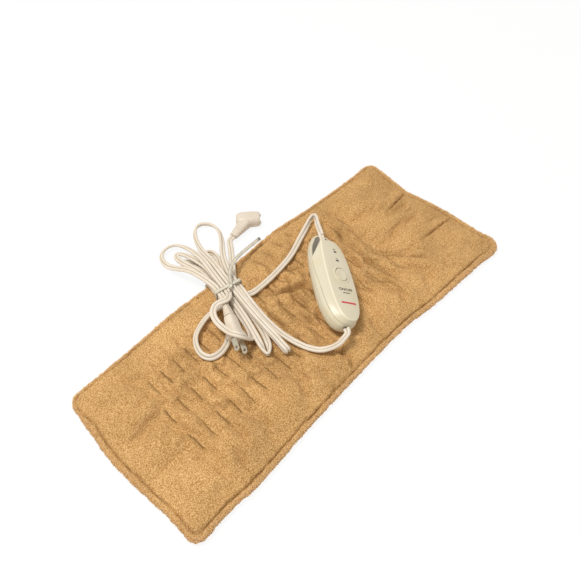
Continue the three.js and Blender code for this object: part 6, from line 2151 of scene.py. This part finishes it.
class STAGE_OT_make(bpy.types.Operator):
    """Sets the camera, the floor and the light"""

    bl_idname = "heating_pad.stage"
    bl_label = "Stage"

    def execute(self, context):
        """The photograph's viewing angle over a plain pale floor, under soft studio light."""
        self.camera(context.scene)
        self.floor()
        self.light(context.scene)
        context.scene.view_settings.view_transform = "Standard"
        return {"FINISHED"}

    def camera(self, scene):
        """The photograph's camera."""
        pitch, yaw = CAMERA_PITCH, CAMERA_YAW
        ahead = Vector((math.cos(pitch) * math.cos(yaw), math.cos(pitch) * math.sin(yaw), -math.sin(pitch)))
        flat = Vector((math.sin(yaw), -math.cos(yaw), 0))
        above = flat.cross(ahead)
        right = flat * math.cos(CAMERA_ROLL) + above * math.sin(CAMERA_ROLL)
        up = above * math.cos(CAMERA_ROLL) - flat * math.sin(CAMERA_ROLL)
        data = bpy.data.cameras.new("photograph_camera")
        data.lens = CAMERA_LENS
        data.sensor_width = CAMERA_SENSOR
        camera = new_object("photograph_camera", data)
        place = Matrix((right, up, -ahead)).transposed().to_4x4()
        place.translation = Vector(CAMERA_PLACE) * MM
        camera.matrix_world = place
        scene.camera = camera

    def floor(self):
        """A wide pale floor, white to the eye, that still takes the shadow."""
        corners = np.array([(-1, -1, 0), (1, -1, 0), (1, 1, 0), (-1, 1, 0)]) * FLOOR_HALF
        floor = new_object("floor", new_mesh("floor", corners - [0, 0, FLOOR_DROP], [(0, 1, 2, 3)]))
        material = bpy.data.materials.new("pale_paper_floor")
        tree = cleared(material)
        paper = add_node(tree, "ShaderNodeBsdfDiffuse", {"Color": rgba(settings().stage.floor)}, 0)
        white = add_node(tree, "ShaderNodeEmission", {"Color": (1, 1, 1, 1), "Strength": 1}, 0)
        mixed = add_node(tree, "ShaderNodeMixShader", {0: self.seen(tree, 0.9), 1: paper, 2: white}, 0)
        add_node(tree, "ShaderNodeOutputMaterial", {"Surface": mixed})
        floor.data.materials.append(material)
        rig.stage(floor)

    def seen(self, tree, share):
        """A share for rays from the eye, or by way of metal or glass, and 0 for the rest."""
        rays = add_node(tree, "ShaderNodeLightPath").outputs
        seen = rays["Is Camera Ray"]
        for kind in ("Is Glossy Ray", "Is Transmission Ray"):
            seen = add_node(tree, "ShaderNodeMath", {0: seen, 1: rays[kind]}, 0, operation="MAXIMUM")
        return add_node(tree, "ShaderNodeMath", {0: seen, 1: share}, 0, operation="MULTIPLY")

    def light(self, scene):
        """One large soft lamp overhead, and an even sky."""
        look = settings().stage
        world = bpy.data.worlds.new("studio_sky")
        tree = cleared(world)
        sky = add_node(tree, "ShaderNodeBackground", {"Color": (1, 0.985, 0.96, 1), "Strength": look.sky}, 0)
        white = add_node(tree, "ShaderNodeBackground", {"Color": (1, 1, 1, 1), "Strength": 1}, 0)
        mixed = add_node(tree, "ShaderNodeMixShader", {0: self.seen(tree, 1.0), 1: sky, 2: white}, 0)
        add_node(tree, "ShaderNodeOutputWorld", {"Surface": mixed})
        scene.world = world
        lamp = bpy.data.lights.new("key_lamp", "AREA")
        lamp.energy = look.key_power
        lamp.size = LAMP_SIZE * MM
        lamp.color = (1, 0.97, 0.92)
        key = new_object("key_lamp", lamp)
        place = Vector(LAMP_PLACE) * MM
        key.location = place
        key.rotation_euler = (-place).to_track_quat("-Z", "Y").to_euler()


class HEATINGPAD_PT_panel(bpy.types.Panel):
    """Lists the steps and their settings"""

    bl_label = "Heating pad"
    bl_idname = "HEATINGPAD_PT_panel"
    bl_space_type = "VIEW_3D"
    bl_region_type = "UI"
    bl_category = "Heating pad"

    def draw(self, context):
        """One button for each step, and the settings below."""
        for operator in OPERATORS:
            self.layout.operator(operator.bl_idname)
        look = context.scene.heating_pad
        for group in (look.pad, look.controller, look.cords, look.stage):
            for name in group.__annotations__:
                self.layout.prop(group, name)


OPERATORS = (
    STAGE_OT_make, PLUG_OT_make, CONNECTOR_OT_make, TIE_OT_make, CORDS_OT_make, CONTROLLER_OT_make,
    FINISHES_OT_make, PAD_OT_make, STITCHES_OT_make, PILE_OT_make,
)
CLASSES = (
    PadSettings, ControllerSettings, CordSettings, StageSettings, HeatingPadSettings, *OPERATORS,
    HEATINGPAD_PT_panel,
)


def register():
    """Registers the settings, the steps and the panel."""
    for item in CLASSES:
        bpy.utils.register_class(item)
    bpy.types.Scene.heating_pad = bpy.props.PointerProperty(type=HeatingPadSettings)


def unregister():
    """Removes what register added."""
    del bpy.types.Scene.heating_pad
    for item in reversed(CLASSES):
        bpy.utils.unregister_class(item)


def main():
    """Makes every piece in order and writes the two boxes."""
    register()
    for operator in OPERATORS:
        group, name = operator.bl_idname.split(".")
        getattr(getattr(bpy.ops, group), name)()
    boxes = {"cad": CAD_BOX, "visual": [list(corner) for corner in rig.bounds()]}
    with open("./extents.json", "w") as file:
        json.dump(boxes, file)


if __name__ == "__main__":
    main()
